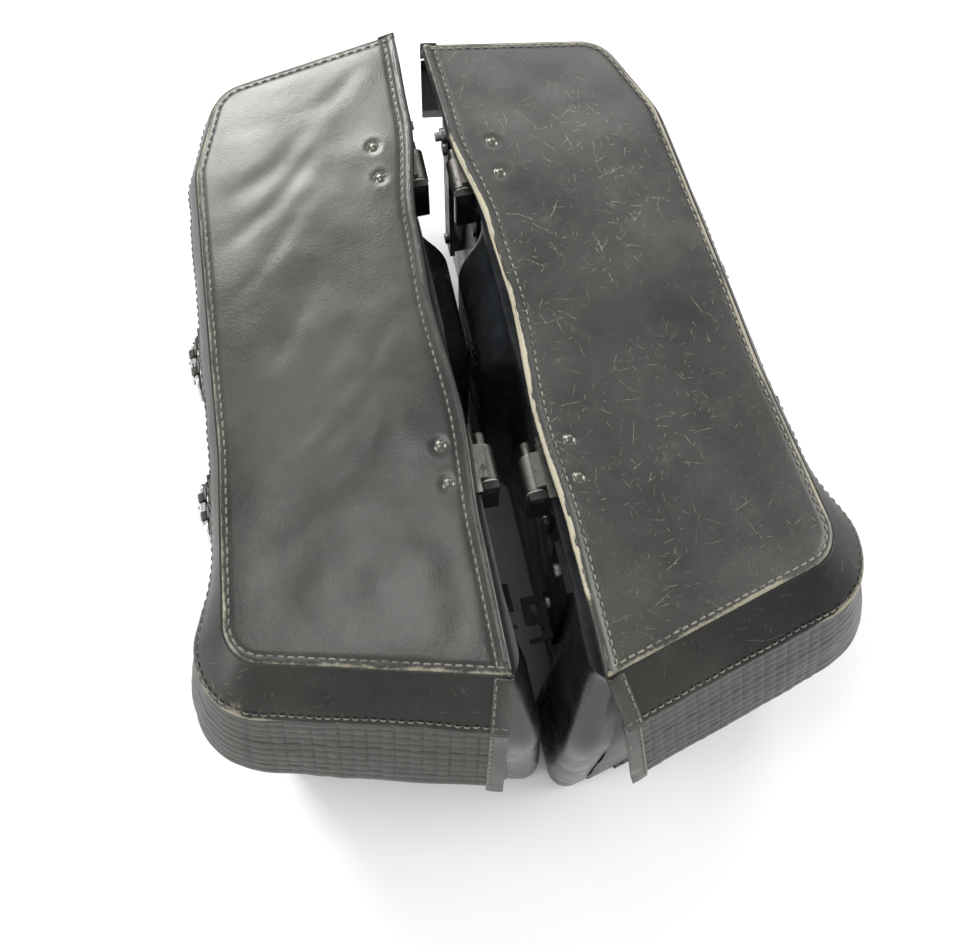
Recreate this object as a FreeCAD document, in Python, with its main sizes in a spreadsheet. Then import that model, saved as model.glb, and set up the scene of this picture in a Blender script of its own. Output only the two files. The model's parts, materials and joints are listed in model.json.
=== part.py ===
import FreeCAD, Part
import math
import os
import re

# A pair of hard-cored leather motorcycle saddlebags, standing side by side on their floors.
# Millimetres, +Z up. X = 0 is the plane midway between the bags, +Y runs from the woven
# front end to the rear end, and Z = 0 is the surface the bags stand on. Each bag is made
# once, for side +1 (right) and side -1 (left): "a" is a distance outboard of X = 0 and
# "y" is measured from the front seam of the lid, so the two bags mirror each other. The
# right bag stands a little further forward than the left one, by twice the stagger.

SIZES = {
    # Lid: plan outline of the sewn top panel, and its crowned, outward-falling surface.
    "seam_height": 330, "front_overhang": 259.4, "stagger": 8, "edge_front": 32, "edge_rear": 10,
    "lid_length": 562, "corner_a": 238, "corner_y": 61, "waist_a": 216, "waist_y": 220,
    "hip_a": 198, "hip_y": 476, "tail_a": 168, "tail_y": 552, "corner_round": 30,
    "crown": 10, "outward_fall": 0.15, "bead_width": 5, "bead_height": 10,
    "leather": 2.5, "pad": 4, "pan": 3, "edge_gap": 3,
    # Band and woven skirt that hang from the seam, and how far they flare.
    "band_drop": 34, "skirt_drop": 136, "flare_front_band": 38, "flare_front_skirt": 68,
    "flare_side_band": 14, "flare_side_skirt": 22, "end_strip": 14, "strip_thick": 1.6, "strip_gap": 0.9,
    # Tub: a moulded shell with a leather cover on its front, outer and rear walls.
    "wall": 4, "cover": 2, "cover_start": 36, "rim_depth": 22, "trim_depth": 14,
    "trim_reach": 3, "wall_a": 29, "foot_round": 6,
    # Lift-off hinges along the inboard edge.
    "hinge_a": 17, "hinge_z": 315, "hinge_front_y": 166, "hinge_rear_y": 438,
    "barrel_radius": 8.5, "barrel_length": 28, "bush_radius": 6.5, "pin_radius": 4.5,
    "pin_stub": 13, "running_gap": 0.05, "ear_thick": 6, "ear_reach": 7, "leaf_width": 50,
    "leaf_reach": 66, "leaf_thick": 3, "rivet_a": 49, "rivet_pitch": 31, "rivet_radius": 5.2,
    "rivet_shank": 2.4, "plate_wide": 60, "plate_top": 301, "plate_tall": 52,
    "plate_thick": 3, "plan_tall": 110, "plan_drop": 70, "drill_tall": 100, "neck_reach": 8.2,
    "neck_rise": 4, "neck_tall": 9, "ear_drop": 40, "web_tall": 37, "bush_proud": 1.5,
    "collar_thick": 1.2, "ear_gap": 2, "tip_taper": 1.5, "rivet_long": 15.7, "dome": 1.3,
    "dome_start": 40, "body_rivet_inset": 9, "body_rivet_rise": 10, "button_thick": 2,
    # Mounting brackets on the inboard wall.
    "dock_y": 76, "dock_width": 42, "dock_low": 96, "dock_top": 286, "dock_thick": 4,
    "shelf_z": 118, "shelf_a": 4, "slot_y": 86, "slot_width": 13, "slot_depth": 15,
    "dock_bore": 4.3, "dock_bore_y": 107, "dock_bore_a": 15, "bar_y": 486, "bar_width": 22,
    "bar_a": 17, "bar_thick": 5, "bar_low": 96, "bar_top": 300, "foot_tall": 20,
    "stud_z": 291, "stud_radius": 4, "stud_length": 9, "nut_radius": 7, "nut_thick": 4,
    "bolt_radius": 3, "bolt_head": 5.5, "bolt_thick": 3, "dock_bolt_y": 25,
    "dock_bolt_low": 60, "dock_bolt_high": 20, "bar_bolt_low": 18, "bar_bolt_high": 30,
    "bar_foot_low": 8, "bar_foot_high": 34,
    # Straps and buckles on the outer side.
    "strap_front_y": 205, "strap_rear_y": 335, "strap_width": 30, "strap_thick": 3,
    "strap_gap": 1, "buckle_depth": 72, "buckle_wide": 46, "buckle_tall": 40, "rod": 2.3,
    "rod_bend": 6, "heel_lift": 5.6, "prong": 1.8, "loose": 0.4, "chape_thick": 2.2,
    "chape_width": 24, "chape_tall": 30, "prong_slot": 8, "keeper_depth": 162,
    "keeper_tall": 14, "keeper_thick": 1.6, "snap_depth": 192, "snap_radius": 7,
    "snap_thick": 2, "snap_flange": 1.2, "snap_gap": 0.5, "ring_width": 5, "ring_wall": 2, "prong_tail": 1,
    "slot_tall": 16, "keeper_play": 0.8,
}

doc = FreeCAD.newDocument("Saddlebags")
sheet = doc.addObject("Spreadsheet::Sheet", "Dims")
for row, (alias, number) in enumerate(SIZES.items(), start=1):
    sheet.set(f"A{row}", alias)
    sheet.set(f"B{row}", str(number))
    sheet.setAlias(f"B{row}", alias)
doc.recompute()

SUBPARTS = []
UP = FreeCAD.Vector(0, 0, 1)


def size(alias):
    """The number in one cell of the sheet."""
    return float(sheet.get(alias))


def cells(text):
    """An expression text with every alias written as a reference to its cell."""
    return re.sub(r"[a-z][a-z_]+", lambda m: "Dims." + m[0] if m[0] in SIZES else m[0], text)


def bind(item, **texts):
    for name, text in texts.items():
        item.setExpression(name, cells(text))
    return item


def put(item, side, x, y, z):
    """Bind where an item stands. y counts from the front seam of that side's lid."""
    item.setExpression("Placement.Base.x", cells(x))
    item.setExpression("Placement.Base.y", cells(f"{y} - front_overhang - {side} * stagger"))
    item.setExpression("Placement.Base.z", cells(z))
    return item


def box(name, side, a, y, z, length, width, height):
    """A box from a to a + length outboard, y to y + width rearward, z to z + height up."""
    item = bind(doc.addObject("Part::Box", name), Length=length, Width=width, Height=height)
    return put(item, side, a if side > 0 else f"-({a}) - ({length})", y, z)


def rod_along_y(name, side, a, y, z, radius, length):
    item = bind(doc.addObject("Part::Cylinder", name), Radius=radius, Height=length)
    item.Placement.Rotation = FreeCAD.Rotation(FreeCAD.Vector(1, 0, 0), -90)
    return put(item, side, f"{side} * ({a})", y, z)


def rod_outboard(name, side, a, y, z, radius, length):
    item = bind(doc.addObject("Part::Cylinder", name), Radius=radius, Height=length)
    item.Placement.Rotation = FreeCAD.Rotation(FreeCAD.Vector(0, 1, 0), 90 * side)
    return put(item, side, f"{side} * ({a})", y, z)


def rod_up(name, side, a, y, z, radius, length):
    item = bind(doc.addObject("Part::Cylinder", name), Radius=radius, Height=length)
    return put(item, side, f"{side} * ({a})", y, z)


def joined(name, *items):
    item = doc.addObject("Part::MultiFuse", name)
    item.Shapes = list(items)
    return item


def cut(name, base, tool):
    item = doc.addObject("Part::Cut", name)
    item.Base = base
    item.Tool = tool
    return item


def common(name, *items):
    item = doc.addObject("Part::MultiCommon", name)
    item.Shapes = list(items)
    return item


def group(name, *items):
    item = doc.addObject("Part::Compound", name)
    item.Links = list(items)
    return item


def shaped(name, shape):
    item = doc.addObject("Part::Feature", name)
    item.Shape = shape
    item.Placement = FreeCAD.Placement()
    return item


def subpart(side, name, item):
    item.Label = ("right_" if side > 0 else "left_") + name
    SUBPARTS.append(item)
    return item


def point(side, a, y, z):
    return FreeCAD.Vector(side * a, y - size("front_overhang") - side * size("stagger"), z)


# ---- Outlines ---------------------------------------------------------------------------

def rounded(corners, inset=0.0):
    """Arcs and lines of a closed outline with corners (a, y, radius), moved in by inset.

    Each corner gives the two ends and the middle of its arc, in order round the outline.
    """
    count = len(corners)
    vectors = [FreeCAD.Vector(a, y, 0) for a, y, _ in corners]
    arcs = []
    for index, (_, _, radius) in enumerate(corners):
        before = (vectors[index] - vectors[index - 1]).normalize()
        after = (vectors[(index + 1) % count] - vectors[index]).normalize()
        turn = before.x * after.y - before.y * after.x
        bulge = 1 if turn > 0 else -1
        half = math.acos(max(-1, min(1, before.dot(after)))) / 2
        inward = FreeCAD.Vector(-before.y - after.y, before.x + after.x, 0).normalize()
        middle = vectors[index] + inward * (bulge * radius / math.cos(half))
        arm = max(radius - bulge * inset, 0.3)
        first = FreeCAD.Vector(before.y, -before.x, 0) * (bulge * arm)
        last = FreeCAD.Vector(after.y, -after.x, 0) * (bulge * arm)
        crest = inward * (-bulge * arm)
        arcs.append((middle + first, middle + crest, middle + last))
    return arcs


def outline_wire(side, corners, z, inset=0.0):
    """The closed wire of a rounded outline at height z."""
    arcs = [[point(side, p.x, p.y, z) for p in arc] for arc in rounded(corners, inset)]
    edges = []
    for index, (first, crest, last) in enumerate(arcs):
        edges.append(Part.LineSegment(arcs[index - 1][2], first).toShape())
        edges.append(Part.Arc(first, crest, last).toShape())
    return Part.Wire(edges)


def ease(share):
    """A smooth step from 0 to 1."""
    share = max(0.0, min(1.0, share))
    return share * share * (3 - 2 * share)


EDGE_WAVE = ((0, 32), (110, 31), (205, 25.5), (300, 30), (372, 27), (478, 13), (562, 10))


def inner_edge(y):
    """How far outboard the lid's rolled inboard edge is at y: a slow wave down its length."""
    for (y0, a0), (y1, a1) in zip(EDGE_WAVE, EDGE_WAVE[1:]):
        if y <= y1:
            return a0 + (a1 - a0) * ease((y - y0) / (y1 - y0))
    return EDGE_WAVE[-1][1]


def crown_radius():
    half = size("lid_length") / 2
    return (half * half + size("crown") ** 2) / (2 * size("crown"))


def surface_z(a, y, depth=0.0):
    """Height of the lid's crowned surface over (a, y), less a depth square to it."""
    tilt = math.atan(size("outward_fall"))
    radius = crown_radius() - depth
    across = y - size("lid_length") / 2
    sag = crown_radius() - math.sqrt(radius * radius - across * across)
    fall = (a - size("edge_front")) * math.tan(tilt)
    return size("seam_height") + size("crown") - fall - sag / math.cos(tilt)


def lid_corners():
    """Corners of the lid outboard of its inboard edge, from the front round to the rear."""
    bend = size("corner_round")
    return [
        (size("corner_a"), size("corner_y"), bend),
        (size("waist_a"), size("waist_y"), 5 * bend),
        (size("hip_a"), size("hip_y"), 1.5 * bend),
        (size("tail_a"), size("tail_y"), bend),
    ]


def lid_walk():
    """Points and outward directions along the seam, from the front end to the rear end."""
    start = (size("edge_front"), 0, 0.5)
    finish = (size("edge_rear"), size("lid_length"), 0.5)
    arcs = rounded([start] + lid_corners() + [finish])
    here = FreeCAD.Vector(size("edge_front"), 0, 0)
    walk = [here]
    for first, crest, last in arcs[1:-1]:
        circle = Part.Arc(first, crest, last).toShape()
        run = first - walk[-1]
        steps = max(1, round(run.Length / 60))
        walk += [walk[-1] + run * (step / steps) for step in range(1, steps)]
        walk += [p for p in circle.discretize(6)]
    end = FreeCAD.Vector(size("edge_rear"), size("lid_length"), 0)
    run = end - walk[-1]
    walk += [walk[-1] + run * share for share in (0.35, 0.7, 1.0)]
    result = []
    for index, here in enumerate(walk):
        ahead = walk[min(index + 1, len(walk) - 1)]
        behind = walk[max(index - 1, 0)]
        along = (ahead - behind).normalize()
        result.append((here, FreeCAD.Vector(along.y, -along.x, 0)))
    return result


def flares(y, out):
    """Flare of the band and of the skirt: wide at the front end, slight along the side."""
    front = max(0.0, -out.y)
    share = max(ease(front * 1.6), ease((150 - y) / 110))
    if out.y > 0.3:
        share = 0.0
    band = size("flare_side_band")
    skirt = size("flare_side_skirt")
    band += (size("flare_front_band") - band) * share
    skirt += (size("flare_front_skirt") - skirt) * share
    return band, skirt


def strip_solid(side, stations, profile):
    """A thin solid through one closed section per station (place, outward, flares)."""
    sections = []
    for place, out in stations:
        top = surface_z(place.x, place.y)
        corners = []
        for reach, depth in profile(*flares(place.y, out)):
            spot = place + out * reach
            corners.append(point(side, spot.x, spot.y, top - depth))
        sections.append(Part.makePolygon(corners + corners[:1]))
    return Part.makeLoft(sections, True, True)


def sheet_profile(path, thick):
    """A closed section: a path of (reach, depth) points and the same path set in by thick."""
    inner = []
    for index, (reach, depth) in enumerate(path):
        before = path[max(index - 1, 0)]
        after = path[min(index + 1, len(path) - 1)]
        run = FreeCAD.Vector(after[0] - before[0], after[1] - before[1], 0).normalize()
        inner.append((reach - run.y * thick, depth + run.x * thick))
    return list(path) + inner[::-1]


def band_profile(band, skirt):
    return sheet_profile(((2.2, size("leather") + 0.3), (band, size("band_drop"))), size("leather"))


def skirt_profile(band, skirt):
    return sheet_profile(((band - 5, size("band_drop") - 1), (skirt, size("skirt_drop"))), size("leather"))


def end_profile(band, skirt):
    proud = size("strip_thick") + size("strip_gap")
    path = ((2.2 + proud, size("leather") + 0.3), (band + proud, size("band_drop") - 1),
            (skirt + proud, size("skirt_drop") - 1))
    return sheet_profile(path, size("strip_thick"))


# ---- Lid --------------------------------------------------------------------------------

def crown_cylinder(side, name, depth):
    """The big slanted cylinder whose top is the lid's surface, less a depth (an expression)."""
    tilt = math.atan(size("outward_fall"))
    along = FreeCAD.Vector(side * math.cos(tilt), 0, -math.sin(tilt))
    square = FreeCAD.Vector(side * math.sin(tilt), 0, math.cos(tilt))
    crest = point(side, size("edge_front"), size("lid_length") / 2, size("seam_height") + size("crown"))
    item = doc.addObject("Part::Cylinder", name)
    radius = "((lid_length / 2) ^ 2 + crown ^ 2) / (2 * crown)"
    bind(item, Radius=f"{radius} - ({depth})", Height="2 * corner_a")
    start = crest - square * crown_radius() - along * (size("corner_a") / 2)
    item.Placement = FreeCAD.Placement(start, FreeCAD.Rotation(UP, along))
    return item


def lid_prism(side, name, inset):
    """An upright prism of the lid's plan, its edges set in from the bead and the seam."""
    ys = [size("lid_length") * step / 14 for step in range(15)]
    bead = size("bead_width") + inset
    front = size("corner_y") / (size("corner_a") - size("edge_front"))
    inner = [FreeCAD.Vector(inner_edge(y) + bead, y, 0) for y in ys]
    inner[0] = inner[0] + FreeCAD.Vector(0, bead * front + inset * 1.05, 0)
    inner[-1] = inner[-1] - FreeCAD.Vector(0, inset + bead * 0.06, 0)
    start = (inner[0].x, inner[0].y, 0.5)
    finish = (inner[-1].x, inner[-1].y, 0.5)
    ends = [(size("edge_front"), 0, 0.5)] + lid_corners() + [(size("edge_rear"), size("lid_length"), 0.5)]
    arcs = rounded(ends, inset)[1:-1]
    low = size("seam_height") - size("plan_drop")
    edges = []
    place = point(side, start[0], start[1], low)
    for arc in arcs:
        first, crest, last = [point(side, p.x, p.y, low) for p in arc]
        edges.append(Part.LineSegment(place, first).toShape())
        edges.append(Part.Arc(first, crest, last).toShape())
        place = last
    edges.append(Part.LineSegment(place, point(side, finish[0], finish[1], low)).toShape())
    spline = Part.BSplineCurve()
    spline.interpolate([point(side, p.x, p.y, low) for p in inner[::-1]])
    edges.append(spline.toShape())
    wire = shaped(name + "Outline", Part.Wire(edges))
    item = bind(doc.addObject("Part::Extrusion", name), LengthFwd="plan_tall")
    item.Base = wire
    item.DirMode = "Custom"
    item.Dir = UP
    item.Solid = True
    return item


def lid_layer(side, name, inset, upper, lower):
    """One layer of the lid, between two depths below its surface."""
    tag = ("R" if side > 0 else "L") + name
    prism = lid_prism(side, tag + "Plan", inset)
    above = common(tag + "Under", prism, crown_cylinder(side, tag + "Top", upper))
    return cut(tag, above, crown_cylinder(side, tag + "Bottom", lower))


def edge_bead(side):
    """The rolled and bound inboard edge of the lid, one rounded section per step."""
    steps = 22
    wide = size("bead_width") - 0.2
    tall = size("bead_height")
    sections = []
    for step in range(steps + 1):
        y = size("lid_length") * step / steps
        edge = inner_edge(y)
        top = surface_z(edge, y) + 0.6
        shape = ((wide, 0.4), (wide * 0.45, 0), (wide * 0.12, tall * 0.2), (0, tall * 0.5),
                 (wide * 0.12, tall * 0.8), (wide * 0.45, tall), (wide, tall - 0.4))
        corners = [point(side, edge + a, y, top - depth) for a, depth in shape]
        sections.append(Part.makePolygon(corners + corners[:1]))
    return Part.makeLoft(sections, True, True)


def rivet_drills(side, name):
    """Cylinders where the four lid rivets pass through a layer."""
    rows = [(end, sign) for end in ("front", "rear") for sign in "-+"]
    return group(name, *[
        rod_up(f"{name}{index}", side, "rivet_a", f"hinge_{end}_y {sign} rivet_pitch / 2",
               "seam_height - drill_tall / 2", "rivet_shank", "drill_tall")
        for index, (end, sign) in enumerate(rows)])


def make_lid(side):
    tag = "R" if side > 0 else "L"
    gap = size("edge_gap")
    stack = "leather + pad"
    for name, part, inset, upper, lower in (
            ("lid_top", "LidTop", 0, "0", "leather"), ("lid_pad", "LidPad", gap, "leather", stack),
            ("lid_pan", "LidPan", gap, stack, stack + " + pan")):
        layer = lid_layer(side, part, inset, upper, lower)
        drills = rivet_drills(side, tag + part + "Drill")
        subpart(side, name, cut(tag + part + "Drilled", layer, drills))
    walk = lid_walk()
    subpart(side, "lid_band", shaped(tag + "LidBand", strip_solid(side, walk, band_profile)))
    subpart(side, "lid_skirt", shaped(tag + "LidSkirt", strip_solid(side, walk, skirt_profile)))
    subpart(side, "lid_edge_bead", shaped(tag + "LidBead", edge_bead(side)))
    reach = size("end_strip")
    ends = []
    for (place, out), (beyond, _) in ((walk[0], walk[1]), (walk[-1], walk[-2])):
        run = (beyond - place).normalize()
        ends.append(strip_solid(side, [(place, out), (place + run * reach, out)], end_profile))
    subpart(side, "lid_end_bindings", shaped(tag + "LidEnds", Part.makeCompound(ends)))


# ---- Hinges -----------------------------------------------------------------------------

def make_hinges(side):
    tag = "R" if side > 0 else "L"
    lid_leaves = []
    body_leaves = []
    pins = []
    bushes = []
    lid_rivets = []
    body_rivets = []
    for end in ("front", "rear"):
        name = tag + end.capitalize()
        middle = f"hinge_{end}_y"
        start = f"{middle} - barrel_length / 2"
        # Lid leaf: a flat plate under the pan, a neck and a barrel with a bushed bore.
        slab = box(name + "Slab", side, "hinge_a + ear_reach", f"{middle} - leaf_width / 2",
                   "seam_height - ear_drop", "leaf_reach - hinge_a - ear_reach", "leaf_width",
                   "2 * ear_drop")
        stack = "leather + pad + pan"
        under = common(name + "LeafUnder", slab, crown_cylinder(side, name + "LeafTop", stack))
        plate = cut(name + "LeafPlate", under,
                    crown_cylinder(side, name + "LeafLow", stack + " + leaf_thick"))
        neck = box(name + "Neck", side, "hinge_a", start, "hinge_z + neck_rise", "neck_reach",
                   "barrel_length", "neck_tall")
        barrel = rod_along_y(name + "Barrel", side, "hinge_a", start, "hinge_z", "barrel_radius",
                             "barrel_length")
        solid = joined(name + "LeafSolid", plate, neck, barrel)
        bore = rod_along_y(name + "BarrelBore", side, "hinge_a", f"{start} - 1", "hinge_z",
                           "bush_radius", "barrel_length + 2")
        lid_leaves.append(cut(name + "LidLeaf", solid, bore))
        # Bush: a plain sleeve with a thin collar against the ear.
        proud = f"{start} - bush_proud"
        sleeve = rod_along_y(name + "Sleeve", side, "hinge_a", proud, "hinge_z",
                             "bush_radius", "barrel_length + bush_proud + 1")
        collar = rod_along_y(name + "Collar", side, "hinge_a", proud, "hinge_z",
                             "bush_radius + 1", "collar_thick")
        hole = rod_along_y(name + "BushBore", side, "hinge_a", f"{proud} - 1", "hinge_z",
                           "pin_radius + running_gap", "barrel_length + bush_proud + 3")
        bushes.append(cut(name + "Bush", joined(name + "BushSolid", sleeve, collar), hole))
        # Pin: pressed in the ear, with a domed free end behind the barrel.
        ear_start = f"{start} - ear_gap - ear_thick"
        shaft = rod_along_y(name + "Shaft", side, "hinge_a", ear_start, "hinge_z", "pin_radius",
                            "ear_thick + ear_gap + barrel_length + pin_stub - tip_taper")
        tip = bind(doc.addObject("Part::Cone", name + "Tip"), Radius1="pin_radius",
                   Radius2="pin_radius - tip_taper", Height="tip_taper")
        tip.Placement.Rotation = FreeCAD.Rotation(FreeCAD.Vector(1, 0, 0), -90)
        put(tip, side, f"{side} * hinge_a", f"{start} + barrel_length + pin_stub - tip_taper", "hinge_z")
        pins.append(joined(name + "Pin", shaft, tip))
        # Body leaf: a plate on the tub's inboard wall with one ear that holds the pin.
        wall_plate = box(name + "WallPlate", side, "wall_a - plate_thick", f"{middle} - plate_wide / 2",
                         "plate_top - plate_tall", "plate_thick", "plate_wide", "plate_tall")
        web = box(name + "Web", side, "hinge_a - ear_reach", ear_start, "hinge_z - ear_drop",
                  "wall_a - hinge_a + ear_reach", "ear_thick", "web_tall")
        knuckle = box(name + "Knuckle", side, "hinge_a - ear_reach", ear_start, "hinge_z - ear_drop",
                      "2 * ear_reach", "ear_thick", "ear_drop + ear_reach")
        ear_bore = rod_along_y(name + "EarBore", side, "hinge_a", f"{ear_start} - 1", "hinge_z",
                               "pin_radius", "ear_thick + 2")
        ear_solid = joined(name + "BodyLeafSolid", wall_plate, web, knuckle)
        body_leaves.append(cut(name + "BodyLeaf", ear_solid, ear_bore))
        for sign in ("-", "+"):
            row = f"{middle} {sign} rivet_pitch / 2"
            spot = name + ("A" if sign == "-" else "B")
            top = round(surface_z(size("rivet_a"), size(f"hinge_{end}_y")) + 0.1, 2)
            shank = rod_up(spot + "Shank", side, "rivet_a", row, f"{top} + 0.1 - rivet_long",
                           "rivet_shank", "rivet_long")
            head = bind(doc.addObject("Part::Sphere", spot + "Head"), Radius="rivet_radius * dome",
                        Angle1="dome_start", Angle2="90")
            put(head, side, f"{side} * rivet_a", row, f"{top} - rivet_radius * dome * sin(dome_start)")
            lid_rivets.append(joined(spot + "Rivet", shank, head))
            body_row = f"{middle} {sign} (plate_wide / 2 - body_rivet_inset)"
            button_a = "wall_a - plate_thick - button_thick"
            height = "plate_top - plate_tall + body_rivet_rise"
            stem = rod_outboard(spot + "BodyShank", side, f"{button_a} + 0.2", body_row, height,
                                "rivet_shank", "plate_thick + wall + 4")
            button = rod_outboard(spot + "BodyHead", side, button_a, body_row, height,
                                  "rivet_radius", "button_thick")
            body_rivets.append(joined(spot + "BodyRivet", stem, button))
    lid_pair = group(tag + "LidLeafPair", *lid_leaves)
    drills = rivet_drills(side, tag + "LeafDrill")
    subpart(side, "hinge_lid_leaves", cut(tag + "LidLeaves", lid_pair, drills))
    subpart(side, "hinge_bushes", group(tag + "Bushes", *bushes))
    subpart(side, "hinge_pins", group(tag + "Pins", *pins))
    subpart(side, "lid_rivets", group(tag + "LidRivets", *lid_rivets))
    rivets = subpart(side, "hinge_body_rivets", group(tag + "BodyRivets", *body_rivets))
    leaves = group(tag + "BodyLeafPair", *body_leaves)
    subpart(side, "hinge_body_leaves", cut(tag + "BodyLeaves", leaves, rivets))
    return rivets


# ---- Brackets ---------------------------------------------------------------------------

def make_brackets(side):
    """The docking bracket near the front, the stand-off bar at the rear, and their bolts."""
    tag = "R" if side > 0 else "L"
    plate = box(tag + "DockPlate", side, "wall_a - dock_thick", "dock_y", "dock_low",
                "dock_thick", "dock_width", "dock_top - dock_low")
    shelf = box(tag + "DockShelf", side, "shelf_a", "dock_y", "shelf_z",
                "wall_a - shelf_a", "dock_width", "dock_thick")
    slot = box(tag + "DockSlot", side, "shelf_a - 1", "slot_y - slot_width / 2", "shelf_z - 1",
               "slot_depth + 1 - slot_width / 2", "slot_width", "dock_thick + 2")
    slot_end = rod_up(tag + "DockSlotEnd", side, "shelf_a + slot_depth - slot_width / 2", "slot_y",
                      "shelf_z - 1", "slot_width / 2", "dock_thick + 2")
    bore = rod_up(tag + "DockBore", side, "dock_bore_a", "dock_bore_y", "shelf_z - 1", "dock_bore",
                  "dock_thick + 2")
    dock_holes = group(tag + "DockHoles", slot, slot_end, bore)
    dock = cut(tag + "DockCut", joined(tag + "DockSolid", plate, shelf), dock_holes)
    bar = box(tag + "BarFlat", side, "bar_a", "bar_y", "bar_low", "bar_thick", "bar_width",
              "bar_top - bar_low")
    feet = [box(tag + name, side, "bar_a + bar_thick - 1", "bar_y", low,
                "wall_a - bar_a - bar_thick + 1", "bar_width", "foot_tall")
            for name, low in (("BarFootLow", "bar_low + bar_foot_low"),
                              ("BarFootHigh", "bar_top - bar_foot_high"))]
    standoff = joined(tag + "BarSolid", bar, *feet)
    bolts = []
    spots = (("wall_a - dock_thick", "dock_y + dock_bolt_y", "dock_low + dock_bolt_low"),
             ("wall_a - dock_thick", "dock_y + dock_bolt_y", "dock_top - dock_bolt_high"),
             ("bar_a", "bar_y + bar_width / 2", "bar_low + bar_bolt_low"),
             ("bar_a", "bar_y + bar_width / 2", "bar_top - bar_bolt_high"))
    for index, (face, y, z) in enumerate(spots):
        name = f"{tag}Bolt{index}"
        head = rod_outboard(name + "Head", side, f"{face} - bolt_thick", y, z, "bolt_head", "bolt_thick")
        shank = rod_outboard(name + "Shank", side, f"{face} - 0.5", y, z, "bolt_radius",
                             f"wall_a - ({face}) + wall + bolt_thick + 0.5")
        nut = rod_outboard(name + "Nut", side, "wall_a + wall", y, z, "bolt_head", "bolt_thick")
        bolts.append(joined(name, head, shank, nut))
    bolt_group = subpart(side, "bracket_bolts", group(tag + "Bolts", *bolts))
    stud = rod_outboard(tag + "StudShank", side, "bar_a - stud_length", "bar_y + bar_width / 2", "stud_z",
                        "stud_radius", "stud_length + bar_thick")
    washer = rod_outboard(tag + "StudCollar", side, "bar_a - nut_thick", "bar_y + bar_width / 2", "stud_z",
                          "nut_radius", "nut_thick")
    mount_stud = subpart(side, "rear_mount_stud", joined(tag + "Stud", stud, washer))
    subpart(side, "dock_bracket", cut(tag + "Dock", dock, bolt_group))
    holes = group(tag + "BarHoles", bolt_group, mount_stud)
    subpart(side, "rear_bar", cut(tag + "Bar", standoff, holes))
    return bolt_group


# ---- Tub --------------------------------------------------------------------------------

# Height, how far the nose stands from X = 0, the bulge likewise, the front wall's y, and how
# far the outer and rear walls stand outside the seam outline.
TUB_LEVELS = (
    (8, 2.5, 6, -48, 4),
    (190, 9, 3, -42, 4),
    (270, 20, 3, -14, -1),
    (300, 27, 28, -5, -2),
    (350, 28, 28, 0, -2),
)


def tub_corners(nose, bulge, front, out):
    """Corners of the tub's plan: nose, outer side, tail, then the inboard wall's bulge."""
    wall = size("wall_a")
    return [
        (nose, front, 16),
        (size("corner_a") + out, front + size("corner_y"), 42),
        (size("waist_a") + out, size("waist_y"), 150),
        (size("hip_a") + out, size("hip_y"), 45),
        (size("tail_a") + out / 2, size("tail_y") + out, 28),
        (wall, size("lid_length") + out, 14),
        (wall, 396, 7),
        (bulge, 380, 7),
        (bulge, 284, 7),
        (wall, 268, 7),
        (wall, 66, 24),
        (nose, 38, 24),
    ]


def tub_loft(side, inset, floor=0.0):
    """The tub's outer form moved in by inset, with its lower edge rounded off."""
    low, *shape = TUB_LEVELS[0]
    foot = outline_wire(side, tub_corners(*shape), floor, inset + size("foot_round"))
    wires = [foot]
    for z, *shape in TUB_LEVELS:
        height = max(z, floor + low)
        wires.append(outline_wire(side, tub_corners(*shape), height, inset))
    return Part.makeLoft(wires, True, True)


def make_tub(side, bolts, rivets):
    tag = "R" if side > 0 else "L"
    outer = shaped(tag + "TubOuter", tub_loft(side, 0))
    cavity = shaped(tag + "TubCavity", tub_loft(side, size("wall"), size("wall")))
    hollow = cut(tag + "TubHollow", outer, cavity)
    rim = crown_cylinder(side, tag + "TubRim", "rim_depth")
    open_tub = common(tag + "TubOpen", hollow, rim)
    subpart(side, "tub", cut(tag + "Tub", open_tub, group(tag + "TubHoles", bolts, rivets)))
    # Leather cover: a skin over every wall but the inboard one.
    skin = shaped(tag + "SkinOuter", tub_loft(side, -size("cover")))
    wrap = cut(tag + "SkinWrap", skin, outer)
    reach = box(tag + "SkinReach", side, "cover_start", "-100", "foot_round", "300", "800", "400")
    subpart(side, "tub_cover", common(tag + "Skin", wrap, reach, rim))
    # Rim trim: a moulded cap all round the mouth.
    cap = shaped(tag + "TrimOuter", tub_loft(side, -size("trim_reach")))
    mouth = shaped(tag + "TrimInner", tub_loft(side, size("wall") + 2))
    under = common(tag + "TrimUnder", cap, crown_cylinder(side, tag + "TrimTop", "trim_depth"))
    above = cut(tag + "TrimAbove", under, crown_cylinder(side, tag + "TrimLow", "rim_depth"))
    subpart(side, "rim_trim", cut(tag + "Trim", above, mouth))


# ---- Straps and buckles -----------------------------------------------------------------

def seam_a(y):
    """How far outboard the outer seam is at y."""
    walk = [place for place, out in lid_walk() if out.x > 0.6]
    for near, far in zip(walk, walk[1:]):
        if y <= far.y:
            return near.x + (far.x - near.x) * (y - near.y) / (far.y - near.y)
    return walk[-1].x


def strap_path():
    """Reach outside the seam and depth below it of the strap's inner face, top to bottom."""
    drop = size("band_drop")
    low = size("skirt_drop")
    top_reach = size("flare_side_band") - 3.3
    low_reach = size("flare_side_skirt")
    return ((top_reach, drop + 12), (low_reach + 0.6, low), (low_reach - 1, low + 66))


def strap_reach(depth):
    path = strap_path()
    for (r0, d0), (r1, d1) in zip(path, path[1:]):
        if depth <= d1:
            return r0 + (r1 - r0) * (depth - d0) / (d1 - d0), math.atan2(r1 - r0, d1 - d0)
    return path[-1][0], 0.0


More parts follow.
